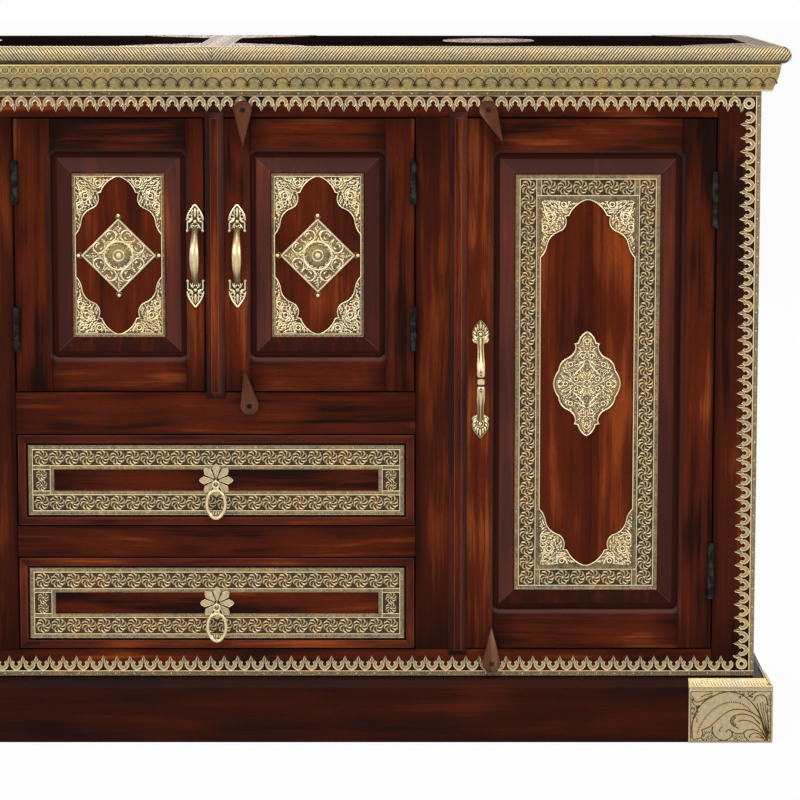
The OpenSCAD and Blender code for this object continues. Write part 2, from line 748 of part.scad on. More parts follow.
// Sheet brass on a raised field: a cusped border and a medallion with a boss
module door_brass(light_x, light_z, border, medal) {
    w = (light_x[1] - light_x[0]) / 2 - brass_in;
    h = (light_z[1] - light_z[0]) / 2 - brass_in;
    cx = (light_x[0] + light_x[1]) / 2;
    cz = (light_z[0] + light_z[1]) / 2;
    module sheet(t) rotate([90, 0, 0]) linear_extrude(t) children();
    translate([cx, front + field_y, cz]) color(BRASS) {
        sheet(brass_t) difference() {
            square([2 * w, 2 * h], center = true);
            polygon(cusp_outline(w - border, h - border));
        }
        sheet(brass_t + medal_t) polygon(medal);
        sheet(brass_t + 2 * medal_t) circle(r = boss_r);
    }
}

// Outline of the small doors' medallion: a lozenge with a small finial at each tip
small_medal = let (r = lozenge_r, n = 5, s = 3) [for (a = [0:90:270]) each [
    for (p = [[r, 0], [r - n, s], [r - n - s, s]]) [p[0] * cos(a) - p[1] * sin(a), p[0] * sin(a) + p[1] * cos(a)],
    for (p = [[s, r - n - s], [s, r - n]]) [p[0] * cos(a) - p[1] * sin(a), p[0] * sin(a) + p[1] * cos(a)]]];

// Outline of the tall doors' medallion: a lozenge drawn out up and down
tall_medal_quarter = [[0, medal_h], [8, medal_h - 9], [16, medal_h - 18], [13, medal_h - 27],
    [25, medal_h - 36], [36, medal_h - 48], [medal_w, 0]];
tall_medal = concat(tall_medal_quarter,
    [for (p = reversed(tall_medal_quarter)) if (p[1] > 0) [p[0], -p[1]]],
    [for (p = tall_medal_quarter) if (p[0] > 0) [-p[0], -p[1]]],
    [for (p = reversed(tall_medal_quarter)) if (p[0] > 0 && p[1] > 0) [-p[0], p[1]]]);

// A moulded strip with sloped flanks
module strip(xs, zs) {
    w = xs[1] - xs[0];
    flank = w / 5;
    color(WOOD) translate([xs[0], front, zs[0]]) linear_extrude(zs[1] - zs[0]) polygon([
        [0, 0], [0, -strip_t / 2], [flank, -strip_t], [w - flank, -strip_t], [w, -strip_t / 2], [w, 0]]);
}

// A bow handle: a bent grip between two leaf plates
module bow_handle(x, z, l) {
    chord = l - 2 * leaf_l + leaf_w;
    s = grip_out - grip_r;
    r = (chord * chord / 4 + s * s) / (2 * s);
    half = asin(chord / 2 / r);
    color(BRASS) translate([x, front, z]) {
        intersection() {
            translate([0, r - s, 0]) rotate([0, 90, 0]) rotate([0, 0, -90 - half])
                rotate_extrude(angle = 2 * half, $fn = 64) translate([r, 0]) circle(r = grip_r, $fn = 20);
            box([-l, -l, -l], [l, 0, l]);
        }
        for (m = [0, 1]) mirror([0, 0, m]) translate([0, 0, l / 2 - leaf_l / 2]) rotate([90, 0, 0])
            linear_extrude(leaf_t) polygon([
                [0, leaf_l / 2], [leaf_w / 2, leaf_l / 6], [leaf_w / 3, -leaf_l / 3], [0, -leaf_l / 2],
                [-leaf_w / 3, -leaf_l / 3], [-leaf_w / 2, leaf_l / 6]]);
    }
}

small_handle_x = (strip_left + centre_strip_w + small_light_x[0]) / 2;
tall_handle_x = (side_strip_x[1] + tall_light_x[0]) / 2;
small_mid_z = (small_light_z[0] + small_light_z[1]) / 2;

module small_right_frame() color(WOOD)
    door_frame(small_right_x, small_door_z, small_light_x, small_light_z, small_pin_x, small_hinge_z, small_hinge_h);
module small_left_frame() color(WOOD) mirror([1, 0, 0])
    door_frame([-small_left_x[1], -small_left_x[0]], small_door_z, small_left_light_x, small_light_z,
        small_pin_x, small_hinge_z, small_hinge_h);
module small_right_panel() color(WOOD) door_panel(small_light_x, small_light_z);
module small_left_panel() color(WOOD) mirror([1, 0, 0]) door_panel(small_left_light_x, small_light_z);
module small_right_brass() door_brass(small_light_x, small_light_z, small_border_w, small_medal);
module small_left_brass() mirror([1, 0, 0])
    door_brass(small_left_light_x, small_light_z, small_border_w, small_medal);
module small_right_handle() bow_handle(small_handle_x, small_mid_z, small_handle_l);
module small_left_handle() bow_handle((strip_left - small_left_light_x[0]) / 2, small_mid_z, small_handle_l);
module small_right_strip() strip([strip_left + gap / 2, strip_left + centre_strip_w],
    [small_door_z[0] - strip_past, small_door_z[1] + strip_past]);

module tall_right_frame() color(WOOD)
    door_frame(tall_right_x, tall_door_z, tall_light_x, tall_light_z, tall_pin_x, tall_hinge_z, tall_hinge_h);
module tall_left_frame() mirror([1, 0, 0]) tall_right_frame();
module tall_right_panel() color(WOOD) door_panel(tall_light_x, tall_light_z);
module tall_left_panel() mirror([1, 0, 0]) tall_right_panel();
module tall_right_brass() door_brass(tall_light_x, tall_light_z, tall_border_w, tall_medal);
module tall_left_brass() mirror([1, 0, 0]) tall_right_brass();
module tall_right_handle() bow_handle(tall_handle_x, tall_handle_z, tall_handle_l);
module tall_left_handle() mirror([1, 0, 0]) tall_right_handle();
module tall_right_strip() strip(side_strip_x, [tall_door_z[0] - strip_past, tall_door_z[1] + strip_past]);
module tall_left_strip() mirror([1, 0, 0]) tall_right_strip();

// Drawers, each from the level of its opening and the opening's height

module drawer_front(z, h) color(WOOD) difference() {
    box([-drawer_half, front, z + gap], [drawer_half, front + front_t, z + h - gap]);
    box([-drawer_half + lip_w, front - cut, z + gap + lip_w], [drawer_half - lip_w, front + sunk_d, z + h - gap - lip_w]);
}

// Sides, back and bottom, open at the top
module drawer_box(z, h) color(WOOD_RAW) {
    y0 = front + front_t + hair;
    y1 = back_y - drawer_back_gap;
    z0 = z + run_gap;
    z1 = z + h - drawer_top_gap;
    for (m = [0, 1]) mirror([m, 0, 0]) box([box_half - drawer_side_t, y0, z0], [box_half, y1, z1]);
    inside = box_half - drawer_side_t - hair;
    box([-inside, y1 - drawer_side_t, z0], [inside, y1, z1]);
    box([-inside, y0, z0], [inside, y1 - drawer_side_t - hair, z0 + drawer_bottom_t]);
}

// Sheet brass in the sunk field, and the flower plate with ears and pin for the ring
module drawer_brass(z, h) {
    w = drawer_half - lip_w - hair;
    half = h / 2 - gap - lip_w - hair;
    ear_x = ring_bar + hair;
    color(BRASS) translate([0, front + sunk_d, z + h / 2]) {
        rotate([90, 0, 0]) linear_extrude(brass_t) difference() {
            square([2 * w, 2 * half], center = true);
            square([2 * (w - end_block_w), drawer_field_h], center = true);
        }
        translate([0, -brass_t, 0]) rotate([90, 0, 0]) linear_extrude(flower_t) {
            circle(r = flower_r * 0.7);
            for (a = [0:45:315]) rotate(a) translate([flower_r * 0.68, 0]) circle(r = flower_r * 0.32);
        }
        for (m = [0, 1]) mirror([m, 0, 0]) box([ear_x, -brass_t - pin_out - pin_r, -ear_rise],
            [ear_x + ear_t, -brass_t, ear_rise]);
        translate([-ear_x - ear_t / 2, -brass_t - pin_out, 0]) rotate([0, 90, 0])
            cylinder(r = pin_r, h = 2 * ear_x + ear_t);
    }
}

// A pear-shaped ring on the pin: an eye above an open loop, whose neck stays straight
// until it is past the ears
module drawer_ring(z, h) {
    r = ring_w / 2;
    low = -ring_drop + r;
    open_r = r - ring_bar;
    neck = low + r * 0.7;
    neck_share = 0.86;
    straight = norm([ear_rise, pin_r]) + hair;
    color(BRASS) translate([0, front + sunk_d - brass_t - pin_out, z + h / 2]) difference() {
        union() {
            translate([0, ring_t / 2, 0]) rotate([90, 0, 0]) linear_extrude(ring_t) difference() {
                union() {
                    translate([0, low]) circle(r = r);
                    translate([0, neck]) circle(r = r * neck_share);
                    polygon([[-ring_bar, 0], [ring_bar, 0], [ring_bar, -straight], [r * 0.8, low + r],
                        [-r * 0.8, low + r], [-ring_bar, -straight]]);
                }
                translate([0, low]) circle(r = open_r);
                translate([0, neck]) circle(r = open_r * neck_share);
            }
            translate([-ring_bar, 0, 0]) rotate([0, 90, 0]) cylinder(r = ring_bar, h = 2 * ring_bar);
        }
        translate([-ring_w, 0, 0]) rotate([0, 90, 0]) cylinder(r = pin_r + pin_gap, h = 2 * ring_w);
    }
}

module drawer_upper_front() drawer_front(upper_z, upper_drawer_h);
module drawer_upper_box() drawer_box(upper_z, upper_drawer_h);
module drawer_upper_brass() drawer_brass(upper_z, upper_drawer_h);
module drawer_upper_ring() drawer_ring(upper_z, upper_drawer_h);
module drawer_lower_front() drawer_front(floor_z, lower_drawer_h);
module drawer_lower_box() drawer_box(floor_z, lower_drawer_h);
module drawer_lower_brass() drawer_brass(floor_z, lower_drawer_h);
module drawer_lower_ring() drawer_ring(floor_z, lower_drawer_h);

// Turn buttons: a teardrop on a screw, its tip at the given turn from straight down
module turn_button(x, z, turn, lift) {
    y = front - lift;
    a = acos(button_r / button_l);
    color(BUTTON) translate([x, y, z]) rotate([0, -turn, 0]) {
        difference() {
            rotate([90, 0, 0]) linear_extrude(button_t) {
                circle(r = button_r);
                polygon([[0, 0], [button_r * sin(a), -button_r * cos(a)], [0, -button_l],
                    [-button_r * sin(a), -button_r * cos(a)]]);
            }
            translate([0, lift, 0]) rotate([90, 0, 0]) cylinder(r = screw_r / 2 + hair, h = lift + button_t + cut);
        }
    }
    color(IRON) translate([x, y, z]) {
        rotate([90, 0, 0]) cylinder(r = screw_r / 2, h = button_t + hair);
        translate([0, -button_t - hair, 0]) rotate([90, 0, 0]) cylinder(r = screw_r, h = screw_h);
    }
}

over_fringe = fringe_t + button_gap;
side_button_x = tall_right_x[0] + side_button_in;

module button_small_top() turn_button(small_button_in, head_z + button_up, 0, over_fringe);
module button_small_bottom()
    turn_button(small_button_in + button_shift, small_z - button_down, 180 + lower_button_tilt, button_gap);
module button_right_top() turn_button(side_button_x, head_z + button_up, button_tilt, over_fringe);
module button_right_bottom() turn_button(side_button_x + button_shift, floor_z - button_down, 180, over_fringe);
module button_left_top() mirror([1, 0, 0]) button_right_top();
module button_left_bottom() mirror([1, 0, 0]) button_right_bottom();

plinth();
plinth_caps();
side_left();
side_right();
partitions();
base_board();
back_panel();
top_board();
top_rope();
top_inlay();
cornice();
shelves();
cupboard_floors();
drawer_guides();
rail_top();
rail_middle();
rail_drawer();
rail_bottom();
stiles_outer();
stiles_mid();
fringe();
hinge_frame_halves();
small_left_frame();
small_left_panel();
small_left_brass();
small_left_handle();
small_left_leaves();
small_right_frame();
small_right_panel();
small_right_brass();
small_right_handle();
small_right_leaves();
small_right_strip();
tall_left_frame();
tall_left_panel();
tall_left_brass();
tall_left_handle();
tall_left_leaves();
tall_left_strip();
tall_right_frame();
tall_right_panel();
tall_right_brass();
tall_right_handle();
tall_right_leaves();
tall_right_strip();
drawer_upper_front();
drawer_upper_box();
drawer_upper_brass();
drawer_upper_ring();
drawer_lower_front();
drawer_lower_box();
drawer_lower_brass();
drawer_lower_ring();
button_small_top();
button_small_bottom();
button_left_top();
button_left_bottom();
button_right_top();
button_right_bottom();
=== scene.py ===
"""The looks of a brass-fitted sheesham sideboard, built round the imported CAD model.

Every piece is made in millimetres, with X to the right, Y to the back and Z up, and brought to
metres when it is finished. Flat work is drawn on a sheet: u to the right, v up, w out of the sheet.
"""
import json
import math
import random

import bmesh
import bpy
from mathutils import Matrix, Vector, noise


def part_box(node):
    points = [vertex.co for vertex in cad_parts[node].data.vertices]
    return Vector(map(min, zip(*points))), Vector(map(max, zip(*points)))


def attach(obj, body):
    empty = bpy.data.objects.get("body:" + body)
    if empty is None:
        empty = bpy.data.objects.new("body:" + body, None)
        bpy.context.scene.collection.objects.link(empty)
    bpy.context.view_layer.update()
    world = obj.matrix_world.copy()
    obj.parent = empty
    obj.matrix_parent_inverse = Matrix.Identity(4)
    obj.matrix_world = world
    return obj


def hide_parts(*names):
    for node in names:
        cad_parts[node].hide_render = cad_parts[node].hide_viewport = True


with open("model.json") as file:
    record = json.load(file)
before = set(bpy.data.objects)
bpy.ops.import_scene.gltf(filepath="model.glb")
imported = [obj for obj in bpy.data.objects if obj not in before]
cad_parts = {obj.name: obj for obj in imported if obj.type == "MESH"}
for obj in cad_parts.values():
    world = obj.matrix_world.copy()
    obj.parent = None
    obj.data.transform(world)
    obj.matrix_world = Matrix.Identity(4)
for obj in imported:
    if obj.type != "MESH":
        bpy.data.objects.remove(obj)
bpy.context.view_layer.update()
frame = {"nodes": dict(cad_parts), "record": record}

bl_info = {
    "name": "Brass-fitted sideboard",
    "version": (1, 0, 0),
    "blender": (4, 5, 0),
    "location": "3D View > Sidebar > Sideboard",
    "description": "Builds the wood, the embossed brass and the fittings of a sheesham sideboard",
    "category": "Object",
}

MM = 0.001
HAIR = 0.15  # how far a raised line's foot sinks into its sheet
SOFT_EDGE = math.radians(38)  # faces that meet more sharply than this keep a crisp edge
BOARD_EDGE = math.radians(14)  # the same for boards, whose flat faces stay flat beside their eased edges
CASE_HALF = 692.0  # half the width over the side boards
FRONT_Y = -169.5  # the front of the face frame

# Sheets seen from the front and from the right
FRONT = Matrix(((1, 0, 0, 0), (0, 0, -1, 0), (0, 1, 0, 0), (0, 0, 0, 1)))
RIGHT = Matrix(((0, 0, 1, 0), (1, 0, 0, 0), (0, 1, 0, 0), (0, 0, 0, 1)))
MIRROR = Matrix.Diagonal((-1, 1, 1, 1))


def mm_box(*nodes):
    """Lowest and highest corner of some CAD nodes together, in millimetres."""
    corners = [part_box(n) for n in nodes]
    low = Vector(min(c[0][i] for c in corners) for i in range(3))
    high = Vector(max(c[1][i] for c in corners) for i in range(3))
    return low / MM, high / MM


def linear(red, green, blue):
    """A colour given as screen values from 0 to 255, as the linear values that shaders take."""
    def one(c):
        c /= 255
        return c / 12.92 if c <= 0.04045 else ((c + 0.055) / 1.055) ** 2.4
    return one(red), one(green), one(blue)


# Sizes and finishes that a user would change

def length(name, description, default):
    return bpy.props.FloatProperty(
        name=name, description=description, default=default * MM, min=0.0001,
        unit="LENGTH", subtype="DISTANCE", precision=4)


def colour(name, description, *screen):
    return bpy.props.FloatVectorProperty(
        name=name, description=description, default=linear(*screen), size=3,
        min=0, max=1, subtype="COLOR")


class SideboardSizes(bpy.types.PropertyGroup):
    """Sizes of the ornament; the case itself follows the CAD model."""
    flute: length("Rope flute", "From one flute of the rope edge to the next", 4.15)
    scallop: length("Scallop", "From one drop of the fringe to the next", 17.3)
    rosette: length("Rosette", "From one pinwheel rosette to the next", 19.6)
    circle: length("Circle", "From one stamped circle of the cornice to the next", 10.6)
    arch: length("Arch", "From one engraved arch of the cornice to the next", 17.6)
    ease: length("Eased edge", "How far the edges of the boards are rounded", 0.9)


class SideboardColours(bpy.types.PropertyGroup):
    """Colours of the finishes."""
    wood_dark: colour("Wood, dark", "Dark figure of the sheesham", 34, 12, 7)
    wood_red: colour("Wood, red", "Middle of the sheesham's figure", 90, 33, 13)
    wood_light: colour("Wood, light", "Light streaks of the sheesham", 148, 68, 25)
    # painted reflection: the colour of the sheen painted over edges and slopes, in place of the light they
    # reflect
    wood_painted_sheen: colour("Wood, haze", "Sheen of the old polish on edges and slopes", 138, 100, 98)
    inside: colour("Inside wood", "Unpolished hardwood inside the case", 150, 108, 70)
    button: colour("Button wood", "Worn wood of the turn buttons", 104, 62, 42)
    brass: colour("Brass", "Rubbed crests of the brass", 226, 208, 168)
    brass_ground: colour("Brass ground", "Dirt in the recesses of the brass", 74, 52, 31)
    iron: colour("Iron", "Blackened hinges", 7, 8, 8)


def sizes():
    return bpy.context.scene.sideboard_sizes


def colours():
    return bpy.context.scene.sideboard_colours


# Materials

class Finish:
    """A material or world in the making: each call adds a node and links it by its sockets' names."""

    def __init__(self, owner):
        owner.use_nodes = True
        self.owner, self.tree = owner, owner.node_tree
        self.tree.nodes.clear()

    def feed(self, socket, value):
        """Set a socket, or link it to another one or to a node's first output."""
        if isinstance(value, bpy.types.Node):
            value = value.outputs[0]
        if isinstance(value, bpy.types.NodeSocket):
            self.tree.links.new(value, socket)
        else:
            socket.default_value = value

    def add(self, kind, inputs=None, **settings):
        node = self.tree.nodes.new("ShaderNode" + kind)
        for key, value in settings.items():
            setattr(node, key, value)
        for key, value in (inputs or {}).items():
            self.feed(node.inputs[key], value)
        return node

    def attribute(self, name, output="Vector"):
        return self.add("Attribute", attribute_name=name).outputs[output]

    def math(self, operation, *values, clamp=False):
        return self.add("Math", dict(enumerate(values)), operation=operation, use_clamp=clamp)

    def stretch(self, vector, *scale, offset=(0, 0, 0)):
        return self.add("Mapping", {"Vector": vector, "Scale": scale, "Location": offset})

    def noise(self, vector, scale=1.0, detail=3.0, roughness=0.55, distortion=0.0):
        return self.add("TexNoise", {
            "Vector": vector, "Scale": scale, "Detail": detail, "Roughness": roughness,
            "Distortion": distortion}).outputs["Fac"]

    def ramp(self, factor, *stops, ease="LINEAR"):
        node = self.add("ValToRGB", {"Fac": factor})
        band = node.color_ramp
        band.interpolation = ease
        while len(band.elements) < len(stops):
            band.elements.new(0.5)
        for element, (place, shade) in zip(band.elements, stops):
            element.position = place
            element.color = (*shade, 1) if isinstance(shade, (tuple, list)) else (shade,) * 3 + (1,)
        return node.outputs["Color"]

    def span(self, value, low, high, to_low=0.0, to_high=1.0):
        return self.add("MapRange", {
            "Value": value, "From Min": low, "From Max": high, "To Min": to_low, "To Max": to_high,
        }).outputs["Result"]

    def mix(self, factor, a, b, blend="MIX"):
        # A colour mix node keeps its two colours in sockets 6 and 7, and its result in socket 2
        return self.add("Mix", {0: factor, 6: a, 7: b}, data_type="RGBA", blend_type=blend).outputs[2]

    def seen(self):
        """1 for what the camera sees straight, mirrored or through glass, 0 for what only lights."""
        ray = self.add("LightPath").outputs
        return self.math("MAXIMUM", ray["Is Camera Ray"], self.math(
            "MAXIMUM", ray["Is Glossy Ray"], ray["Is Transmission Ray"]))

    def done(self, colour, roughness, bump, depth, shader, strength=1.0):
        """End the material in a principled shader, with its other inputs by their sockets' names."""
        lift = self.add("Bump", {"Height": bump, "Distance": depth, "Strength": strength})
        surface = self.add("BsdfPrincipled", {
            "Base Color": colour, "Roughness": roughness, "Normal": lift, **shader})
        self.add("OutputMaterial", {"Surface": surface}, is_active_output=True)
        return self.owner


def rgba(shade):
    return (*shade, 1.0)


def blend_shade(a, b, share):
    """A colour that lies share of the way from a to b."""
    return tuple(x + (y - x) * share for x, y in zip(a, b))


def wood(name, dark, middle, light, gloss=0.34, edge=0.62, shine=0.045):
    """Polished sheesham: streaked figure along each board's own grain, darker towards its edges.

    A vertex attribute lays a dull painted sheen over slopes and edges: colour that stands in for the light
    their polish reflects.
    """
    f = Finish(bpy.data.materials.new(name))
    grain = f.attribute("grain")
    across = f.attribute("across")
    sway = f.noise(f.stretch(grain, 2.6, 9, 9), detail=2.0)
    bent = f.add("VectorMath", {0: grain, 1: f.add("VectorMath", {
        0: f.add("CombineXYZ", {"Y": sway, "Z": sway}), "Scale": 0.022}, operation="SCALE")},
        operation="ADD")
    figure = f.noise(f.stretch(bent, 3.2, 62, 62), detail=5.0, roughness=0.58, distortion=0.35)
    streak = f.noise(f.stretch(bent, 5.0, 260, 260), detail=3.0, roughness=0.6)
    cloud = f.noise(f.stretch(grain, 5.5, 15, 15), detail=2.0)
    pores = f.noise(f.stretch(grain, 90, 1900, 1900), detail=2.0)
    level = f.math("ADD", f.math("MULTIPLY", figure, 0.72), f.math("MULTIPLY_ADD", cloud, 0.85, -0.175))
    level = f.math("ADD", level, f.math("MULTIPLY", f.math("SUBTRACT", streak, 0.5), 0.30))
    parts = f.add("SeparateXYZ", {"Vector": across})
    level = f.math("ADD", level, parts.outputs[2])
    base = f.ramp(level, (0.42, dark), (0.56, blend_shade(dark, middle, 0.7)), (0.68, middle),
                  (0.86, light))
    base = f.mix(f.span(pores, 0.60, 0.72), base, rgba(blend_shade(dark, (0, 0, 0), 0.4)))
    rim = f.math("MAXIMUM", f.math("ABSOLUTE", parts.outputs[0]), f.math("ABSOLUTE", parts.outputs[1]))
    rim = f.math("ADD", rim, f.math("MULTIPLY", f.math("SUBTRACT", cloud, 0.5), 0.25))
    shade = f.span(rim, 0.70, 1.02, 1.0, 1.0 - edge)
    base = f.mix(1.0, base, f.add("CombineColor", {"Red": shade, "Green": shade, "Blue": shade}),
                 "MULTIPLY")
    # painted sheen: reflected light mixed into the colour where the vertex attribute asks for it
    base = f.mix(f.attribute("painted_sheen", "Fac"), base, rgba(colours().wood_painted_sheen))
    rough = f.span(f.math("ADD", streak, cloud), 0.7, 1.3, gloss - 0.06, gloss + 0.10)
    height = f.math("ADD", f.math("MULTIPLY", pores, -0.5), f.math("MULTIPLY", streak, 0.5))
    return f.done(base, rough, height, 0.00012, {"Specular IOR Level": shine})


def brass(name, bright, ground, wear=1.0, gloss=0.36):
    """Antique brass: the attribute tone runs from dirt in the recesses, 0, to rubbed crests, 1."""
    f = Finish(bpy.data.materials.new(name))
    place = f.add("TexCoord").outputs["Object"]
    tone = f.attribute("tone", "Fac")
    cloud = f.noise(place, 26, 3.0)
    grime = f.noise(place, 240, 4.0, 0.62)
    hammer = f.noise(place, 620, 2.0)
    level = f.math("ADD", tone, f.math("MULTIPLY", f.math("SUBTRACT", grime, 0.5), 0.55 * wear))
    level = f.math("ADD", level, f.math("MULTIPLY", f.math("SUBTRACT", cloud, 0.5), 0.30 * wear),
                   clamp=True)
    middle = blend_shade(ground, bright, 0.45)
    base = f.ramp(level, (0.0, blend_shade(ground, (0, 0, 0), 0.6)), (0.18, ground), (0.50, middle),
                  (0.88, bright))
    warm = f.span(cloud, 0.42, 0.62)
    base = f.mix(warm, base, f.mix(1.0, base, (1.0, 0.93, 0.80, 1), "MULTIPLY"))
    rough = f.span(level, 0.0, 1.0, gloss + 0.30, gloss - 0.04)
    metal = f.span(level, 0.05, 0.45, 0.35, 0.92)
    height = f.math("ADD", f.math("MULTIPLY", grime, 0.6), f.math("MULTIPLY", hammer, 0.4))
    return f.done(base, rough, height, 0.00018, {"Metallic": metal}, strength=0.8)


def black_iron(name, shade):
    """Black lacquered iron with worn, faintly lighter patches."""
    f = Finish(bpy.data.materials.new(name))
    place = f.add("TexCoord").outputs["Object"]
    patch = f.noise(place, 90, 4.0)
    pits = f.noise(place, 700, 2.0)
    worn = blend_shade(shade, (0.2, 0.2, 0.19), 0.25)
    base = f.mix(f.span(patch, 0.45, 0.7, 0.0, 0.8), rgba(shade), rgba(worn))
    return f.done(base, f.span(patch, 0.3, 0.7, 0.22, 0.42), pits, 0.0001,
                  {"Metallic": 0.2, "Specular IOR Level": 0.15})


def floor_finish():
    """Pale floor: white where the camera sees it, with the soft shadow of what stands on it."""
    f = Finish(bpy.data.materials.new("pale floor"))
    place = f.add("TexCoord").outputs["Object"]
    tint = f.mix(f.noise(place, 3.0), (0.80, 0.80, 0.80, 1), (0.84, 0.84, 0.84, 1))
    matt = f.add("BsdfDiffuse", {"Color": tint})
    white = f.add("Emission", {"Color": (1, 1, 1, 1), "Strength": 1.0})
    share = f.math("MULTIPLY", f.seen(), 0.95)
    f.add("OutputMaterial", {"Surface": f.add("MixShader", {0: share, 1: matt, 2: white})})
    return f.owner


_finishes = {}


def finish(name):
    """The material of that name, made the first time it is asked for."""
    if name in _finishes:
        return _finishes[name]
    c = colours()
    dark, red, light = tuple(c.wood_dark), tuple(c.wood_red), tuple(c.wood_light)
    deep = blend_shade(dark, (0.004, 0.002, 0.004), 0.35)
    bright, ground = tuple(c.brass), tuple(c.brass_ground)
    inside = tuple(c.inside)
    makers = {
        "case": lambda: wood("sheesham", dark, red, light),
        "rail": lambda: wood("sheesham rail", dark, blend_shade(red, dark, 0.15), light, edge=0.5),
        "post": lambda: wood("sheesham post", dark, blend_shade(red, dark, 0.55),
                             blend_shade(light, red, 0.70)),
        "stile": lambda: wood("sheesham stile", dark, blend_shade(red, dark, 0.38),
                              blend_shade(light, red, 0.50)),
        "door": lambda: wood("sheesham door", dark, red, blend_shade(light, (0.4, 0.15, 0.05), 0.15)),
        "panel": lambda: wood("sheesham panel", blend_shade(dark, red, 0.25), red,
                              blend_shade(light, red, 0.25), edge=0.35),
        "plinth": lambda: wood("dark sheesham", deep, blend_shade(dark, red, 0.25),
                               blend_shade(red, dark, 0.35), edge=0.4),
        # painted shade: the top is made nearly black and dull, standing in for the dark that its upward face
        # reflects
        "top": lambda: wood("dark top", linear(11, 6, 8), linear(22, 12, 14), linear(36, 20, 18),
                            gloss=0.85, edge=0.2, shine=0.0),
        "inside": lambda: wood("inside wood", blend_shade(inside, dark, 0.45), inside,
                               blend_shade(inside, (0.6, 0.45, 0.28), 0.5), gloss=0.62, edge=0.15),
        "button": lambda: wood("button wood", blend_shade(tuple(c.button), dark, 0.5), tuple(c.button),
                               blend_shade(tuple(c.button), (0.5, 0.3, 0.2), 0.3), gloss=0.58, edge=0.3),
        "brass": lambda: brass("embossed brass", bright, ground),
        "cornice brass": lambda: brass(
            "cornice brass", blend_shade(bright, linear(222, 206, 112), 0.4), ground),
        "cast brass": lambda: brass("cast brass", blend_shade(bright, ground, 0.04), ground, 0.7, 0.26),
        "plain brass": lambda: brass("rubbed brass", blend_shade(bright, ground, 0.06), ground, 0.8, 0.30),
        # painted shade: the top's brass darkened towards purplish brown, standing in for the dark its upward
        # face reflects
        "top brass": lambda: brass(
            "top brass", blend_shade(bright, linear(104, 70, 64), 0.82), ground),
        "iron": lambda: black_iron("black iron", tuple(c.iron)),
    }
    _finishes[name] = makers[name]()
    return _finishes[name]


# Shared ways of making a piece

def piece(name, bm, finish_name, body, nodes=(), soft=SOFT_EDGE):
    """Turn a bmesh in millimetres into a finished piece that rides on a body and stands for nodes."""
    bmesh.ops.transform(bm, matrix=Matrix.Scale(MM, 4), verts=bm.verts)
    mesh = bpy.data.meshes.new(name)
    bm.to_mesh(mesh)
    bm.free()
    mesh.materials.append(finish(finish_name))
    mesh.shade_smooth()
    mesh.set_sharp_from_angle(angle=soft)
    made = bpy.data.objects.new(name, mesh)
    bpy.context.scene.collection.objects.link(made)
    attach(made, body)
    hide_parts(*nodes)
    return made


def node_copy(node):
    """A CAD node's mesh as a clean bmesh in millimetres, its triangles merged into flat faces."""
    bm = bmesh.new()
    bm.from_mesh(frame["nodes"][node].data)
    bmesh.ops.transform(bm, matrix=Matrix.Scale(1 / MM, 4), verts=bm.verts)
    bmesh.ops.remove_doubles(bm, verts=bm.verts, dist=0.002)
    bmesh.ops.dissolve_limit(bm, angle_limit=math.radians(0.5), verts=bm.verts, edges=bm.edges,
                             delimit={"NORMAL"})
    return bm


def islands(bm):
    """The separate solids of a bmesh, each as a list of vertices."""
    left = set(bm.verts)
    found = []
    for seed in bm.verts:
        if seed not in left:
            continue
        left.discard(seed)
        stack, group = [seed], [seed]
        while stack:
            for edge in stack.pop().link_edges:
                for vert in edge.verts:
                    if vert in left:
                        left.discard(vert)
                        stack.append(vert)
                        group.append(vert)
        found.append(group)
    return found


def round_edges(bm, choose, width, segments=3, clamp=True):
    """Round the edges that a test chooses."""
    edges = [e for e in bm.edges if choose(e)]
    bmesh.ops.bevel(bm, geom=edges, offset=width, offset_type="OFFSET", affect="EDGES",
                    segments=segments, profile=0.5, material=-1, clamp_overlap=clamp)


def is_sharp(edge, angle):
    return len(edge.link_faces) == 2 and edge.calc_face_angle(0) > angle


def lay_grain(bm, seed, axes=None, shades=None):
    """Store each board's coordinates along its grain, how near its edges a point is, and its shade."""
    grain = bm.verts.layers.float_vector.new("grain")
    across = bm.verts.layers.float_vector.new("across")
    draw = random.Random(seed)
    for k, group in enumerate(islands(bm)):
        shade = shades[k % len(shades)] if shades else draw.uniform(-0.05, 0.04)
        low = Vector(min(v.co[i] for v in group) for i in range(3))
        high = Vector(max(v.co[i] for v in group) for i in range(3))
        size = high - low
        order = axes or sorted(range(3), key=lambda i: -size[i])
        start = Vector(draw.uniform(-9, 9) for _ in range(3))
        middle = (low + high) / 2
        for v in group:
            v[grain] = Vector((v.co - middle)[i] * MM for i in order) + start
            rim = [2 * (v.co - middle)[i] / size[i] if size[i] > 30 else 0.0 for i in order[:2]]
            v[across] = (rim[1], rim[0], shade)
    return bm


def shade_verts(bm, change):
    """Give single vertices their own shade and painted sheen: change returns both for a vertex, or nothing.
    """
    across = bm.verts.layers.float_vector["across"]
    # how much painted sheen each vertex gets
    painted_sheen = bm.verts.layers.float.new("painted_sheen")
    for vert in bm.verts:
        given = change(vert)
        if given:
            vert[across].z += given[0]
            vert[painted_sheen] = given[1]


def boards(name, node, finish_name, body, seed, axes=None):
    """A wooden CAD node as boards with their own grain, their longer sharp edges eased."""
    shortest, flattest = 12.0, math.radians(40)
    bm = node_copy(node)
    round_edges(bm, lambda e: e.calc_length() > shortest and is_sharp(e, flattest),
                sizes().ease / MM, 2, clamp=False)
    lay_grain(bm, seed, axes)
    return piece(name, bm, finish_name, body, [node], BOARD_EDGE)


# Paths on a sheet, as lists of points in millimetres

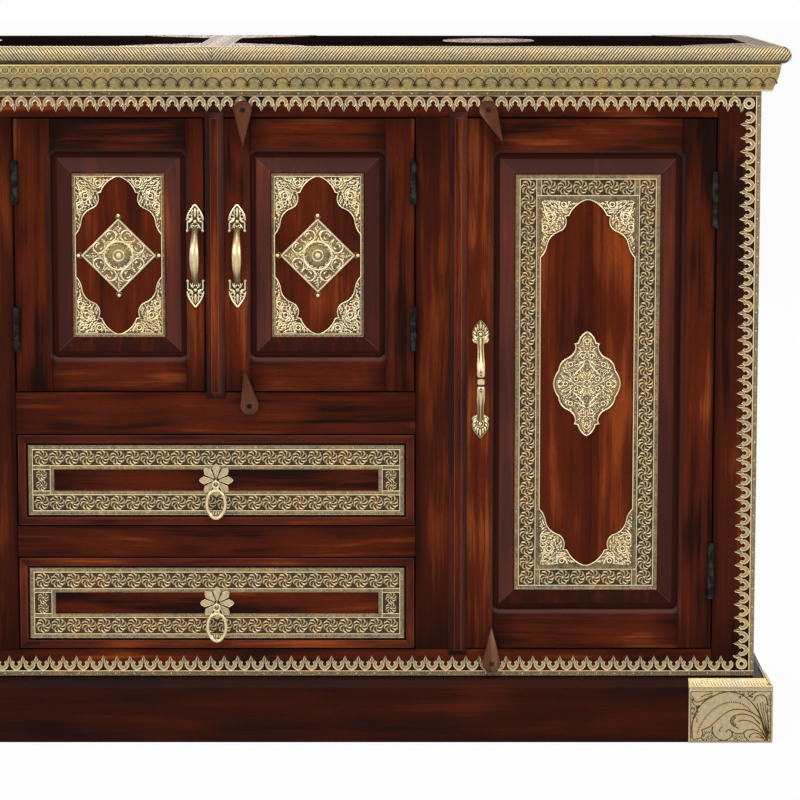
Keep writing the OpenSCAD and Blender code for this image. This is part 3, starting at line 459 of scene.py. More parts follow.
def arc(a, b, rise, count=6):
    """Points of the arc from a to b whose middle lies rise to the left of the line between them."""
    a, b = Vector(a), Vector(b)
    chord = (b - a).length
    along = (b - a) / chord
    left = Vector((-along.y, along.x)) * math.copysign(1, rise)
    rise = abs(rise)
    radius = (chord * chord / 4 + rise * rise) / (2 * rise)
    centre = (a + b) / 2 - (radius - rise) * left
    half = math.asin(min(1.0, chord / 2 / radius))
    if rise > radius:
        half = math.pi - half
    turns = [half - 2 * half * i / count for i in range(count + 1)]
    return [centre + radius * (math.cos(t) * left - math.sin(t) * along) for t in turns]


def curl(centre, first, last, start, end, count=10):
    """Points of a spiral round a centre: its radius from first to last, its angle in degrees."""
    points = []
    for i in range(count + 1):
        share = i / count
        radius, turn = first + (last - first) * share, math.radians(start + (end - start) * share)
        points.append(Vector((centre[0] + radius * math.cos(turn), centre[1] + radius * math.sin(turn))))
    return points


def flow(points, steps=4):
    """A smooth curve through a few points."""
    p = [Vector(q) for q in points]
    p = [2 * p[0] - p[1], *p, 2 * p[-1] - p[-2]]
    made = []
    for i in range(1, len(p) - 2):
        for k in range(steps):
            t = k / steps
            made.append(0.5 * (2 * p[i] + (p[i + 1] - p[i - 1]) * t
                               + (2 * p[i - 1] - 5 * p[i] + 4 * p[i + 1] - p[i + 2]) * t * t
                               + (3 * p[i] - p[i - 1] - 3 * p[i + 1] + p[i + 2]) * t ** 3))
    return made + [p[-2]]


def join(*paths):
    """Paths laid end to end, without the points that two of them share."""
    made = []
    for path in paths:
        for point in path:
            point = Vector(point)
            if not made or (point - made[-1]).length > 0.01:
                made.append(point)
    return made


def even(path, step, closed=False):
    """A path's points again, a step apart."""
    path = [Vector(p) for p in path]
    if closed:
        path.append(path[0])
    lengths = [(b - a).length for a, b in zip(path, path[1:])]
    total = sum(lengths)
    count = max(2, round(total / step))
    made, i, passed = [], 0, 0.0
    for k in range(count + (0 if closed else 1)):
        at = total * k / count
        while i < len(lengths) - 1 and passed + lengths[i] < at:
            passed += lengths[i]
            i += 1
        share = min(1.0, (at - passed) / lengths[i]) if lengths[i] else 0.0
        made.append(path[i].lerp(path[i + 1], share))
    return made


def neighbours(path, i, closed):
    """A point of a path between the ones before and after it; an open path's ends stand in for theirs."""
    count = len(path)
    here = Vector(path[i % count])
    before = Vector(path[(i - 1) % count]) if closed or i else here
    after = Vector(path[(i + 1) % count]) if closed or i < count - 1 else here
    return before, here, after


def leftward(path, i, closed):
    """The direction to the left of a path at one of its points, and how squarely it leaves the path."""
    before, here, after = neighbours(path, i, closed)
    a, b = here - before, after - here
    a = a.normalized() if a.length > 1e-9 else b.normalized()
    b = b.normalized() if b.length > 1e-9 else a
    square = Vector((-a.y, a.x))
    side = Vector((-(a + b).y, (a + b).x))
    side = side.normalized() if side.length > 1e-6 else square
    return side, side.dot(square)


def beside(path, distance, closed=True):
    """A path moved sideways, to the left where the distance is positive."""
    made = []
    for i, point in enumerate(path):
        side, lean = leftward(path, i, closed)
        made.append(Vector(point) + side * distance / max(0.5, lean))
    return made


def rectangle(left, low, right, high):
    return [Vector(p) for p in ((left, low), (right, low), (right, high), (left, high))]


def within(half_w, half_h, inward=0.0):
    """A rectangle round the middle of a sheet, drawn in on all sides."""
    return rectangle(inward - half_w, inward - half_h, half_w - inward, half_h - inward)


def circle(radius, count=16, centre=(0, 0)):
    return [Vector((centre[0] + radius * math.cos(math.tau * i / count),
                    centre[1] + radius * math.sin(math.tau * i / count))) for i in range(count)]


def mirrored(path):
    """A path and its mirror image on the other side of the middle."""
    return [[Vector((p[0] * side, p[1])) for p in path] for side in (1, -1)]


def both_halves(edge):
    """An outline from its right half, whose last point lies on the middle."""
    return [(-x, y) for x, y in edge[:-1]] + edge[::-1]


def diamond(reach):
    return [(reach, 0), (0, reach), (-reach, 0), (0, -reach)]


def inside(point, outline):
    """Whether a point lies within a closed outline."""
    x, y = point[0], point[1]
    within = False
    for a, b in zip(outline, outline[1:] + outline[:1]):
        if (a[1] > y) != (b[1] > y) and x < (b[0] - a[0]) * (y - a[1]) / (b[1] - a[1]) + a[0]:
            within = not within
    return within


def cusp_quarter(half_width, half_height):
    """A quarter of a cusped opening, from its tip down its right side: four lobes and a notch."""
    tip, lip, notch, shoulder, bead, foot = (
        (half_width * across, half_height - down) for across, down in (
            (0.04, 0), (0.40, 19.8), (0.475, 20.9), (0.63, 40.8), (0.86, 56.0), (1, 73.5)))
    return join(arc(tip, lip, 3.2, 6), arc(notch, shoulder, -5.2, 7), arc(shoulder, bead, 2.6, 4),
                arc(bead, foot, -1.6, 4))


def cusps(half_width, half_height):
    """The cusped opening that the brass round a door panel leaves."""
    quarter = cusp_quarter(half_width, half_height)
    right = quarter + [Vector((p.x, -p.y)) for p in reversed(quarter)]
    return join(right, [Vector((-p.x, p.y)) for p in reversed(right)])


# Sections of a raised line, from its right foot to its left: across, up and tone
RIDGE = ((-1, 0, 0.15), (0, 1, 1), (1, 0, 0.15))
ROUND = ((-1, 0, 0.05), (-0.68, 0.75, 0.9), (0, 1, 1), (0.68, 0.75, 0.9), (1, 0, 0.05))
CUT = ((-1, 0, 0.6), (-0.66, 1, 1), (-0.5, 0.2, 0), (0.5, 0.2, 0), (0.66, 1, 1), (1, 0, 0.6))
DENT = ((-1, 0, 0.7), (-0.5, 1, 0.0), (0.5, 1, 0.0), (1, 0, 0.7))
FLUTE = ((-1, 0, 0.0), (-0.75, 0.5, 0.0), (-0.3, 1, 1), (0.5, 1, 1), (1, 0, 0.1))


def same(t):
    return 1.0


def leaf(t):
    return math.sin(math.pi * t) ** 0.7


def swell(t):
    """Fullest in the middle, thinner towards both ends."""
    return 0.4 + 0.6 * math.sin(math.pi * t)


def comma(t):
    """Thin at the start, fullest near the end."""
    return math.sin(math.pi * t ** 1.7) ** 0.8 * 0.9 + 0.1 * (1 - t)


class Relief:
    """Embossed sheet metal in millimetres. The attribute tone runs from dirt, 0, to a crest, 1."""

    def __init__(self, floor=0.0):
        self.bm = bmesh.new()
        self.bm.verts.layers.float.new("tone")
        self.scratch = bpy.data.meshes.new("scratch")
        self.floor = floor

    def take(self, bm):
        """Add a small bmesh and free it."""
        bm.to_mesh(self.scratch)
        bm.free()
        self.bm.from_mesh(self.scratch)

    def band(self, path, half, high, section=RIDGE, closed=False, shape=same, beads=None, tone=1.0):
        """A raised line: half as wide as given to each side, beaded where beads gives (height, tone)."""
        count, steps = len(path), len(section)
        rows = count + 1 if closed else count
        bm = bmesh.new()
        layer = bm.verts.layers.float.new("tone")
        grid = bmesh.ops.create_grid(bm, x_segments=rows - 1, y_segments=steps - 1, size=1)["verts"]
        for i in range(rows):
            here = Vector(path[i % count])
            side, lean = leftward(path, i, closed)
            side /= max(0.6, lean)
            size = shape(i / (rows - 1))
            size = 0.0 if size < 0.02 else size
            low, dim = beads if beads and i % 2 else (1.0, 1.0)
            rise = high * low * (min(1.0, size) ** 0.5 if size else 0.0)
            for j, (across, up, shade) in enumerate(section):
                vert = grid[j * rows + i]
                spot = here + side * (across * half * size)
                vert.co = (spot.x, spot.y, self.floor - HAIR + (rise + HAIR) * up)
                vert[layer] = shade * dim * tone
        bmesh.ops.remove_doubles(bm, verts=bm.verts, dist=0.0005)
        self.take(bm)

    def dome(self, centre, radius, high, sides=8, rings=2, tone=1.0, foot=0.15):
        """A nail head or bead."""
        bm = bmesh.new()
        layer = bm.verts.layers.float.new("tone")
        bmesh.ops.create_uvsphere(bm, u_segments=sides, v_segments=rings * 2, radius=1)
        bmesh.ops.delete(bm, geom=[v for v in bm.verts if v.co.z < -0.01], context="VERTS")
        for vert in bm.verts:
            up = max(0.0, vert.co.z)
            vert[layer] = (foot + (1 - foot) * min(1.0, up * 1.4)) * tone
            vert.co = (centre[0] + vert.co.x * radius, centre[1] + vert.co.y * radius,
                       self.floor - HAIR + (high + HAIR) * up)
        self.take(bm)

    def ring_dot(self, centre, radius=3.7):
        """A bright ring round a dark hole with a bead in it."""
        self.dome(centre, radius * 0.8, 0.15, 12, 1, tone=0.0)
        self.band(circle(radius * 0.80, 12, centre), radius * 0.27, 1.1, ROUND, closed=True)
        self.dome(centre, radius * 0.30, 1.0, 6, 1, foot=0.6)

    def sheet(self, outline, holes=(), thick=1.0, tone=0.45, back=0.0):
        """A flat sheet with straight edges, its back at the given height."""
        bm = bmesh.new()
        layer = bm.verts.layers.float.new("tone")
        for loop in (outline, *holes):
            verts = [bm.verts.new((p[0], p[1], back)) for p in loop]
            for a, b in zip(verts, verts[1:] + verts[:1]):
                bm.edges.new((a, b))
        bmesh.ops.triangle_fill(bm, use_beauty=True, edges=bm.edges[:])
        thicken(bm, thick)
        for vert in bm.verts:
            vert[layer] = tone
        self.take(bm)

    def stamp(self, mesh, place):
        """Add a copy of a motif, made at floor 0, on this relief's floor; a mirroring place is righted."""
        place = Matrix.Translation((0, 0, self.floor)) @ place
        mesh.transform(place)
        if place.determinant() < 0:
            mesh.flip_normals()
        self.bm.from_mesh(mesh)
        if place.determinant() < 0:
            mesh.flip_normals()
        mesh.transform(place.inverted())

    def stamp_all(self, mesh, *places):
        """Stamp a motif at each place and remove it."""
        for place in places:
            self.stamp(mesh, place)
        bpy.data.meshes.remove(mesh)

    def motif(self):
        """The relief as a mesh to stamp; it ends here."""
        mesh = bpy.data.meshes.new("motif")
        self.bm.to_mesh(mesh)
        self.bm.free()
        bpy.data.meshes.remove(self.scratch)
        return mesh

    def piece(self, name, finish_name, body, nodes, slot, place=Matrix()):
        """Lay the relief in its place and finish it; it ends here."""
        bpy.data.meshes.remove(self.scratch)
        return piece(name, lay(self.bm, place), finish_name, body, nodes)


def front_at(x, y, z, side=1):
    """A sheet's place on the front, at x, y and z, or mirrored to the left of the middle."""
    place = Matrix.Translation((x, y, z)) @ FRONT
    return MIRROR @ place if side < 0 else place


def turned(x, y, degrees=0.0):
    """A motif's place on a sheet, with its turn to the left."""
    return Matrix.Translation((x, y, 0)) @ Matrix.Rotation(math.radians(degrees), 4, "Z")


QUARTERS = [Matrix.Diagonal((sx, sy, 1, 1)) for sx in (1, -1) for sy in (1, -1)]


def pinwheel(radius):
    """A rosette of eight blades that curl along its rim from a bead in its middle."""
    r = Relief()
    for k in range(8):
        path = [Vector((radius * reach * math.cos(math.radians(45 * k + turn)),
                        radius * reach * math.sin(math.radians(45 * k + turn))))
                for reach, turn in ((0.14, 0), (0.46, 6), (0.74, 20), (0.92, 42), (0.90, 68))]
        r.band(path, radius * 0.118, 1.1,
               shape=lambda t: (0.5, 0.8, 1.25, 1.05, 0.25)[round(t * 4)])
    r.dome((0, 0), radius * 0.17, 1.6, 8, 2, foot=0.3)
    return r.motif()


def rosette_row(r, motif, start, end, pitch):
    """Rosettes along a row, every second one turned by half a blade."""
    start, end = Vector(start), Vector(end)
    count = max(1, round((end - start).length / pitch))
    for k in range(count):
        spot = start.lerp(end, (k + 0.5) / count)
        r.stamp(motif, turned(spot.x, spot.y, 22.5 * (k % 2)))


def even_pairs(path, step, closed=True):
    """A path's points again, a step apart; a closed path has an even number of them."""
    points = even(path, step, closed)
    if closed and len(points) % 2:
        points = even(path, step * len(points) / (len(points) + 1), closed)
    return points


def milled(r, path, half, step=1.05, closed=True, high=0.55):
    """A line of small dents, struck one beside the other."""
    r.band(even_pairs(path, step, closed), half, high, RIDGE, closed, beads=(0.25, 0.12), tone=0.85)


def foliage(r, outline, dots, root, step=3.4, seed=1, reach=2.4, clear=1.1, wide=0.95):
    """Fill an outline with leaf strokes that spring from a root and turn round the ring dots."""
    draw = random.Random(seed)
    xs, ys = [p[0] for p in outline], [p[1] for p in outline]
    rows = int((max(ys) - min(ys)) / (step * 0.8)) + 1
    columns = int((max(xs) - min(xs)) / step) + 1
    for j in range(rows):
        for i in range(columns):
            spot = Vector((min(xs) + step * (i + 0.5 * (j % 2)) + draw.uniform(-0.5, 0.5),
                           min(ys) + step * 0.8 * j + draw.uniform(-0.5, 0.5)))
            flip = 1 if draw.random() < 0.5 else -1
            near = min(dots, key=lambda d: (spot - Vector(d[:2])).length)
            away = spot - Vector(near[:2])
            if away.length < near[2] + clear:
                continue
            swirl = Vector((-away.y, away.x)).normalized() * near[3]
            pull = (spot - Vector(root)).normalized()
            hold = max(0.0, 1 - away.length / (near[2] * 4))
            aim = (swirl * (0.4 + hold) + pull * (1.1 - hold)).normalized()
            long = reach * draw.uniform(0.8, 1.15)
            ends = [spot - aim * long, spot + aim * long]
            if not all(inside(e, outline) for e in ends):
                long *= 0.5
                ends = [spot - aim * long, spot + aim * long]
                if not all(inside(e, outline) for e in ends):
                    continue
            r.band(arc(ends[0], ends[1], flip * long * 0.45, 3), wide, 0.8, ROUND, shape=leaf)


# The pieces, one operator for each group

class SIDEBOARD_OT_stage(bpy.types.Operator):
    """Set up the pale floor, the soft studio lamps and the camera at the photograph's angle"""
    bl_idname = "sideboard.stage"
    bl_label = "Stage"

    EYE = (0.2356, -3.6455, 1.0345)  # where the camera stands, in metres
    DOWN = 0.1078  # how far it looks down, in radians
    LENS = 123.95  # its focal length in millimetres
    SHIFT = -0.2096  # how far the picture is shifted, so that upright edges stay upright

    def execute(self, context):
        scene = context.scene
        scene.view_settings.view_transform = "Standard"
        bm = bmesh.new()
        bmesh.ops.create_grid(bm, x_segments=4, y_segments=4, size=30)
        mesh = bpy.data.meshes.new("floor")
        bm.to_mesh(mesh)
        bm.free()
        floor = bpy.data.objects.new("floor", mesh)
        mesh.materials.append(floor_finish())
        scene.collection.objects.link(floor)
        self.light_world(scene)
        for name, place, size, power in (
                ("lamp left", (-2.6, -3.4, 2.9), 2.4, 74),
                ("lamp right", (2.9, -2.6, 2.3), 2.0, 42),
                ("lamp above", (0.2, -0.6, 3.6), 2.6, 46),
                ("lamp behind", (-0.8, 3.2, 2.6), 2.4, 40)):
            lamp = bpy.data.lights.new(name, "AREA")
            lamp.shape, lamp.size, lamp.energy = "SQUARE", size, power
            held = bpy.data.objects.new(name, lamp)
            held.location = place
            aim = Vector((0, 0, 0.45)) - Vector(place)
            held.rotation_euler = aim.to_track_quat("-Z", "Y").to_euler()
            scene.collection.objects.link(held)
        self.place_camera(scene)
        return {"FINISHED"}

    def light_world(self, scene):
        """White where it is seen or mirrored, and a plainer grey where it lights the object."""
        f = Finish(bpy.data.worlds.new("studio"))
        white, soft = (f.add("Background", {"Color": (1, 1, 1, 1), "Strength": strength})
                       for strength in (1.0, 0.42))
        f.add("OutputWorld", {"Surface": f.add("MixShader", {0: f.seen(), 1: soft, 2: white})})
        scene.world = f.owner

    def place_camera(self, scene):
        """Front view, right of the middle and looking a little down, so the left third is cut off."""
        data = bpy.data.cameras.new("camera")
        data.sensor_width = 36
        data.lens = self.LENS
        data.shift_y = self.SHIFT
        data.clip_end = 100
        camera = bpy.data.objects.new("camera", data)
        camera.location = self.EYE
        camera.rotation_euler = (math.pi / 2 - self.DOWN, 0, 0)
        scene.collection.objects.link(camera)
        scene.camera = camera


class SIDEBOARD_OT_case(bpy.types.Operator):
    """Make the boards of the case: sides, partitions, floors, back, top, plinth, rails and stiles"""
    bl_idname = "sideboard.case"
    bl_label = "Case"

    def execute(self, context):
        rows = (
            ("plinth_boards", "plinth", "plinth", "dark_wood", None),
            ("left_side_boards", "side_left", "stile", "case_wood", None),
            ("right_side_boards", "side_right", "stile", "case_wood", None),
            ("partition_boards", "partitions", "inside", "inside_wood", (2, 1, 0)),
            ("base_boards", "base_board", "inside", "inside_wood", None),
            ("back_boards", "back_panel", "plinth", "dark_wood", (2, 0, 1)),
            ("top_boards", "top_board", "top", "dark_wood", None),
            ("shelf_boards", "shelves", "inside", "inside_wood", (0, 1, 2)),
            ("cupboard_floor_boards", "cupboard_floors", "inside", "inside_wood", (0, 1, 2)),
            ("guide_strips", "drawer_guides", "inside", "inside_wood", (1, 0, 2)),
            ("top_rail", "rail_top", "rail", "case_wood", None),
            ("middle_rail", "rail_middle", "rail", "case_wood", None),
            ("drawer_rail", "rail_drawer", "rail", "case_wood", None),
            ("bottom_rail", "rail_bottom", "rail", "case_wood", None),
            ("outer_stiles", "stiles_outer", "stile", "case_wood", None),
            ("middle_stiles", "stiles_mid", "post", "case_wood", None),
        )
        for seed, (name, node, finish_name, slot, axes) in enumerate(rows):
            boards(name, node, finish_name, "carcass", seed, axes)
        return {"FINISHED"}


class SIDEBOARD_OT_drawers(bpy.types.Operator):
    """Make the drawer fronts and boxes"""
    bl_idname = "sideboard.drawers"
    bl_label = "Drawers"

    SUNK = 2.5  # how far the brass field lies behind the front
    LIP = 13.0  # from the drawer's edge to its brass
    GROOVE = 2.6  # width of the groove between lip and brass
    MITRE = 0.12  # half the hairline between two lips
    ARRIS = 1.7  # how far the lips' long edges are rounded

    def execute(self, context):
        for seed, level in enumerate(("upper", "lower")):
            body = "drawer_" + level
            low, high = mm_box(body + "_front")
            bm = self.front(low, high)
            lay_grain(bm, 70 + seed, shades=(-0.09, 0.04, -0.01, 0.03, 0.0))
            shade_verts(bm, lambda v: self.lip_shade(v.co, low, high))
            lay(bm, front_at(0, FRONT_Y + self.SUNK, 0))
            piece(body + "_front_wood", bm, "case", body, [body + "_front"], BOARD_EDGE)
            boards(body + "_box_wood", body + "_box", "inside", body, 80 + seed)
        return {"FINISHED"}

    def front(self, low, high):
        """A flat board with four moulded lips mitred round its face."""
        wide = self.LIP - self.GROOVE
        board = bmesh.new()
        made = bmesh.ops.create_cube(board, size=1)["verts"]
        size = high - low
        bmesh.ops.transform(board, verts=made, matrix=Matrix.Translation(
            ((low.x + high.x) / 2, (low.z + high.z) / 2, -(size.y - self.SUNK) / 2))
            @ Matrix.Diagonal((size.x, size.z, size.y - self.SUNK, 1)))
        face = top_face(board)
        inset(board, face, self.LIP - 0.6)  # the groove's dark shade ends within the next 0.8 mm
        inset(board, face, 0.8)
        parts = [board]
        corners = rectangle(low.x, low.z, high.x, high.z)
        for k, start in enumerate(corners):
            end = corners[(k + 1) % 4]
            along = (end - start).normalized()
            inward = Vector((-along.y, along.x))
            shift = along * self.MITRE
            lip = flat_board([start + shift, end - shift, end - shift + (inward - along) * wide,
                              start + shift + (inward + along) * wide], self.SUNK)
            round_edges(lip, lambda e: min(v.co.z for v in e.verts) > self.SUNK - 0.01
                        and abs((e.verts[0].co - e.verts[1].co).xy.normalized().dot(along)) > 0.99,
                        self.ARRIS)
            parts.append(lip)
        return gather(parts)

    def lip_shade(self, spot, low, high):
        """Painted highlights and sheen on the lips' rounded arrises, a faint painted sheen on the rest of
        them, and painted shade in the groove behind them.
        """
        inset = min(spot.x - low.x, high.x - spot.x, spot.y - low.z, high.z - spot.y)
        if spot.z < 0.05:
            return None if inset > self.LIP else (-0.3, 0.0)
        if self.SUNK - self.ARRIS + 0.1 < spot.z < self.SUNK - 0.05:
            return 0.04, 0.14
        return 0.0, 0.02


class SIDEBOARD_OT_plain(bpy.types.Operator):
    """Give the CAD nodes that stay in view their finishes"""
    bl_idname = "sideboard.plain"
    bl_label = "Plain nodes"

    def execute(self, context):
        for name, node in frame["nodes"].items():
            if node.hide_render:
                continue
            which = "button" if name.startswith("button") else "brass"
            if name.endswith("_leaves") or name == "hinge_frame_halves":
                which = "iron"
            node.data.materials.clear()
            node.data.materials.append(finish(which))
        return {"FINISHED"}


def ring_of(bm, outer, inner, radius):
    """A flat ring between a rectangle and a rounded rectangle, both as (low, high) on the sheet."""
    count = 5  # steps round each corner
    loops = ([], [])
    for (ix, iz), turn in (((1, 1), 0), ((0, 1), 90), ((0, 0), 180), ((1, 0), 270)):
        x, z = (inner[1][0] if ix else inner[0][0]), (inner[1][1] if iz else inner[0][1])
        ox, oz = (outer[1][0] if ix else outer[0][0]), (outer[1][1] if iz else outer[0][1])
        sx, sz = (1 if ix else -1), (1 if iz else -1)
        centre = Vector((x - sx * radius, z - sz * radius))
        for k in range(count + 1):
            a = math.radians(turn + 90 * k / count)
            loops[0].append(bm.verts.new(
                (centre.x + radius * math.cos(a), centre.y + radius * math.sin(a), 0)))
            spot = (ox, centre.y) if k == 0 and sx * sz > 0 or k == count and sx * sz < 0 else (
                centre.x, oz) if k in (0, count) else (ox, oz)
            loops[1].append(bm.verts.new((*spot, 0)))
    total = len(loops[0])
    for k in range(total):
        n = (k + 1) % total
        bm.faces.new((loops[0][n], loops[0][k], loops[1][k], loops[1][n]))
    bmesh.ops.remove_doubles(bm, verts=bm.verts, dist=0.001)


def raise_faces(bm, faces, by, **options):
    """Extrude faces and move what comes out of them up."""
    made = bmesh.ops.extrude_face_region(bm, geom=faces, **options)["geom"]
    bmesh.ops.translate(bm, vec=(0, 0, by), verts=[g for g in made if isinstance(g, bmesh.types.BMVert)])


def thicken(bm, thick):
    """Pull a flat face up into a closed board; its back stays where the face was."""
    raise_faces(bm, bm.faces[:], thick, use_keep_orig=True)
    bmesh.ops.recalc_face_normals(bm, faces=bm.faces)


def flat_board(points, thick):
    """A board from its outline on the sheet."""
    bm = bmesh.new()
    bm.faces.new([bm.verts.new((p[0], p[1], 0)) for p in points])
    thicken(bm, thick)
    return bm


def top_face(bm):
    """The highest face, and of faces at one height the largest."""
    return max(bm.faces, key=lambda f: f.calc_center_median().z + f.calc_area() * 1e-6)


def inset(bm, face, width, depth=0.0):
    """Draw a face in by a width and lift what is left of it by a depth."""
    bmesh.ops.inset_region(bm, faces=[face], thickness=width, depth=depth, use_even_offset=True)


def keep_part(source, cuts):
    """A closed copy of what lies behind some planes, each as a point and a normal that points away."""
    bm = source.copy()
    for point, normal in cuts:
        cut = bmesh.ops.bisect_plane(bm, geom=bm.verts[:] + bm.edges[:] + bm.faces[:], dist=0.0001,
                                     plane_co=point, plane_no=normal, clear_outer=True)["geom_cut"]
        bmesh.ops.holes_fill(bm, edges=[e for e in cut if isinstance(e, bmesh.types.BMEdge)], sides=0)
    return bm


def gather(parts):
    """Several bmeshes in one."""
    whole = bmesh.new()
    scratch = bpy.data.meshes.new("scratch")
    for bm in parts:
        bm.to_mesh(scratch)
        bm.free()
        whole.from_mesh(scratch)
    bpy.data.meshes.remove(scratch)
    return whole


def own_box(node, side):
    """A node's box, mirrored to the right of the middle where the side is -1."""
    low, high = mm_box(node)
    if side < 0:
        low.x, high.x = -high.x, -low.x
    return low, high


def light_of(name, side):
    """The opening of a door's frame, from its panel's brass, as (low, high) in x and z."""
    low, high = own_box(name + "_brass", side)
    slope = 27.0  # from the brass out to the frame
    return (low.x - slope, low.z - slope), (high.x + slope, high.z + slope)


def lay(bm, place):
    """Lay flat work in its place and turn it right side out where the place mirrors it."""
    bmesh.ops.transform(bm, matrix=place, verts=bm.verts)
    if place.determinant() < 0:
        bmesh.ops.reverse_faces(bm, faces=bm.faces)
    return bm


class SIDEBOARD_OT_doors(bpy.types.Operator):
    """Join the door frames from stiles and rails, and set the raised panels in them"""
    bl_idname = "sideboard.doors"
    bl_label = "Doors"

    JOINT = 0.22  # half the hairline between two boards
    DEEP = 22.0  # thickness of the frames
    ROUNDED = 7.6  # how far a frame's inner edge is rounded
    SET_BACK = 18.0  # from the front of the frames to the panels' backs
    # Heights on a panel: its margin, from there to the foot of the slope, and its field
    MARGIN, STEP, FIELD = 8.85, 0.06, 15.0

    def execute(self, context):
        for seed, (kind, hand) in enumerate((("small", "right"), ("small", "left"), ("tall", "right"),
                                             ("tall", "left"))):
            name, body = f"{kind}_{hand}", f"door_{kind}_{hand}"
            side = 1 if hand == "right" else -1
            light = light_of(name, side)
            bm = self.frame_boards(own_box(name + "_frame", side), light)
            lay_grain(bm, 40 + seed, shades=(0.11, -0.05, -0.02, -0.03) if kind == "tall"
                      else (0.02, -0.03, -0.10, -0.04))
            shade_verts(bm, lambda v: self.frame_shade(v.co, light))
            lay(bm, front_at(0, FRONT_Y + self.DEEP, 0, side))
            piece(name + "_frame_wood", bm, "door", body, [name + "_frame"], BOARD_EDGE)
            bm = self.panel(light, kind)
            lay_grain(bm, 50 + seed, (1, 0, 2), shades=(0.07, -0.02) if kind == "tall" else (0.02,))
            shade_verts(bm, lambda v: self.panel_shade(v, light))
            lay(bm, front_at(0, FRONT_Y + self.SET_BACK, 0, side))
            piece(name + "_panel_wood", bm, "panel", body, [name + "_panel"], BOARD_EDGE)
        return {"FINISHED"}

    def frame_boards(self, outer, light):
        low, high = outer
        ring = bmesh.new()
        ring_of(ring, ((low.x + 0.1, low.z + 0.1), (high.x - 0.1, high.z - 0.1)), light, 9.0)
        thicken(ring, self.DEEP)
        front = self.DEEP - 0.01

        def inner(e):
            a, b = (v.co for v in e.verts)
            return (min(a.z, b.z) > front and is_sharp(e, 0.5)
                    and all(light[0][0] - 0.1 < p.x < light[1][0] + 0.1
                            and light[0][1] - 0.1 < p.y < light[1][1] + 0.1 for p in (a, b)))

        def rim(e):
            a, b = (v.co for v in e.verts)
            return min(a.z, b.z) > front and e.calc_face_angle(0) > 0.5 and not (
                light[0][0] - 6 < a.x < light[1][0] + 6 and light[0][1] - 6 < a.y < light[1][1] + 6)

        round_edges(ring, inner, self.ROUNDED, 6)
        round_edges(ring, rim, 0.9, 2)
        (x0, z0), (x1, z1) = light
        middle = (z0 + z1) / 2
        left, right = Vector((-1, 0, 0)), Vector((1, 0, 0))
        parts = [
            keep_part(ring, [(Vector((x0 - self.JOINT, 0, 0)), right)]),
            keep_part(ring, [(Vector((x1 + self.JOINT, 0, 0)), left)]),
        ]
        for up in (1, -1):
            parts.append(keep_part(ring, [
                (Vector((x0 + self.JOINT, 0, 0)), left), (Vector((x1 - self.JOINT, 0, 0)), right),
                (Vector((0, middle, 0)), Vector((0, -up, 0)))]))
        ring.free()
        return gather(parts)

    def frame_shade(self, spot, light):
        """A painted sheen along the rounded inner edge, a little darker beneath it, strongest along the
        bottom rail, whose edge faces up to the light.
        """
        (x0, z0), (x1, z1) = light
        foot, reach = self.DEEP - 7.5, 8
        if not (foot < spot.z < self.DEEP - 0.05 and x0 - reach < spot.x < x1 + reach
                and z0 - reach < spot.y < z1 + reach):
            return None
        share = math.sin(math.pi * (spot.z - foot) / (self.DEEP - foot))
        return -0.04, share * (0.30 if spot.y < z0 + 2 else 0.13)

    def panel_shade(self, vert, light):
        """Slopes darker than the field, as stained, with painted light over that: the slope at the sheet's
        left kept light and the others darkened by how they face the light, a painted sheen on the slopes,
        painted highlights on the mitres, a thin dark line at the field's edge, and painted shade that makes
        the margin deep in the groove nearly black.
        """
        up = vert.co.z
        if up > self.FIELD - 0.005:
            return None
        if up > self.FIELD - 0.1:
            return -0.3, 0.0
        # painted shade in the groove: the margin nearly black
        if up < self.MARGIN + 0.05:
            return -0.4, 0.0
        (x0, z0), (x1, z1) = light
        near_x = min(abs(vert.co.x - x0), abs(vert.co.x - x1))
        near_z = min(abs(vert.co.y - z0), abs(vert.co.y - z1))
        # painted highlight along each mitre
        if abs(near_x - near_z) < 0.3:
            return 0.02, 0.28
        # painted shade and sheen by how each slope faces the light
        if near_x > near_z:
            upper = vert.co.y > (z0 + z1) / 2
            return (-0.26, 0.14) if upper else (-0.22, 0.02)
        return (-0.03, 0.13) if vert.co.x < (x0 + x1) / 2 else (-0.24, 0.07)

    def panel(self, light, kind):
        """A raised panel: a margin in the frame's groove, a wide slope with mitred corners, a flat field."""
        (x0, z0), (x1, z1) = light
        groove, margin, slope = 7.0, 7.5, 18.0
        foot = self.MARGIN + self.STEP
        bm = flat_board(rectangle(x0 - groove, z0 - groove, x1 + groove, z1 + groove), self.MARGIN)
        top = top_face(bm)
        inset(bm, top, groove + margin - 0.3)
        inset(bm, top, 0.3, self.STEP)
        inset(bm, top, slope, self.FIELD - foot)
        round_edges(bm, lambda e: max(v.co.z for v in e.verts) > self.FIELD - 0.01
                    and foot - 0.005 < min(v.co.z for v in e.verts) < self.FIELD - 0.1, 0.5, 2)
        round_edges(bm, lambda e: all(abs(v.co.z - self.FIELD) < 0.01 for v in e.verts), 0.45, 2)
        if kind == "small":
            return bm
        joint = (x0 + x1) / 2 + 6.4  # where the tall panels' two boards meet
        parts = [keep_part(bm, [(Vector((joint + s * 0.1, 0, 0)), Vector((-s, 0, 0)))]) for s in (1, -1)]
        bm.free()
        return gather(parts)


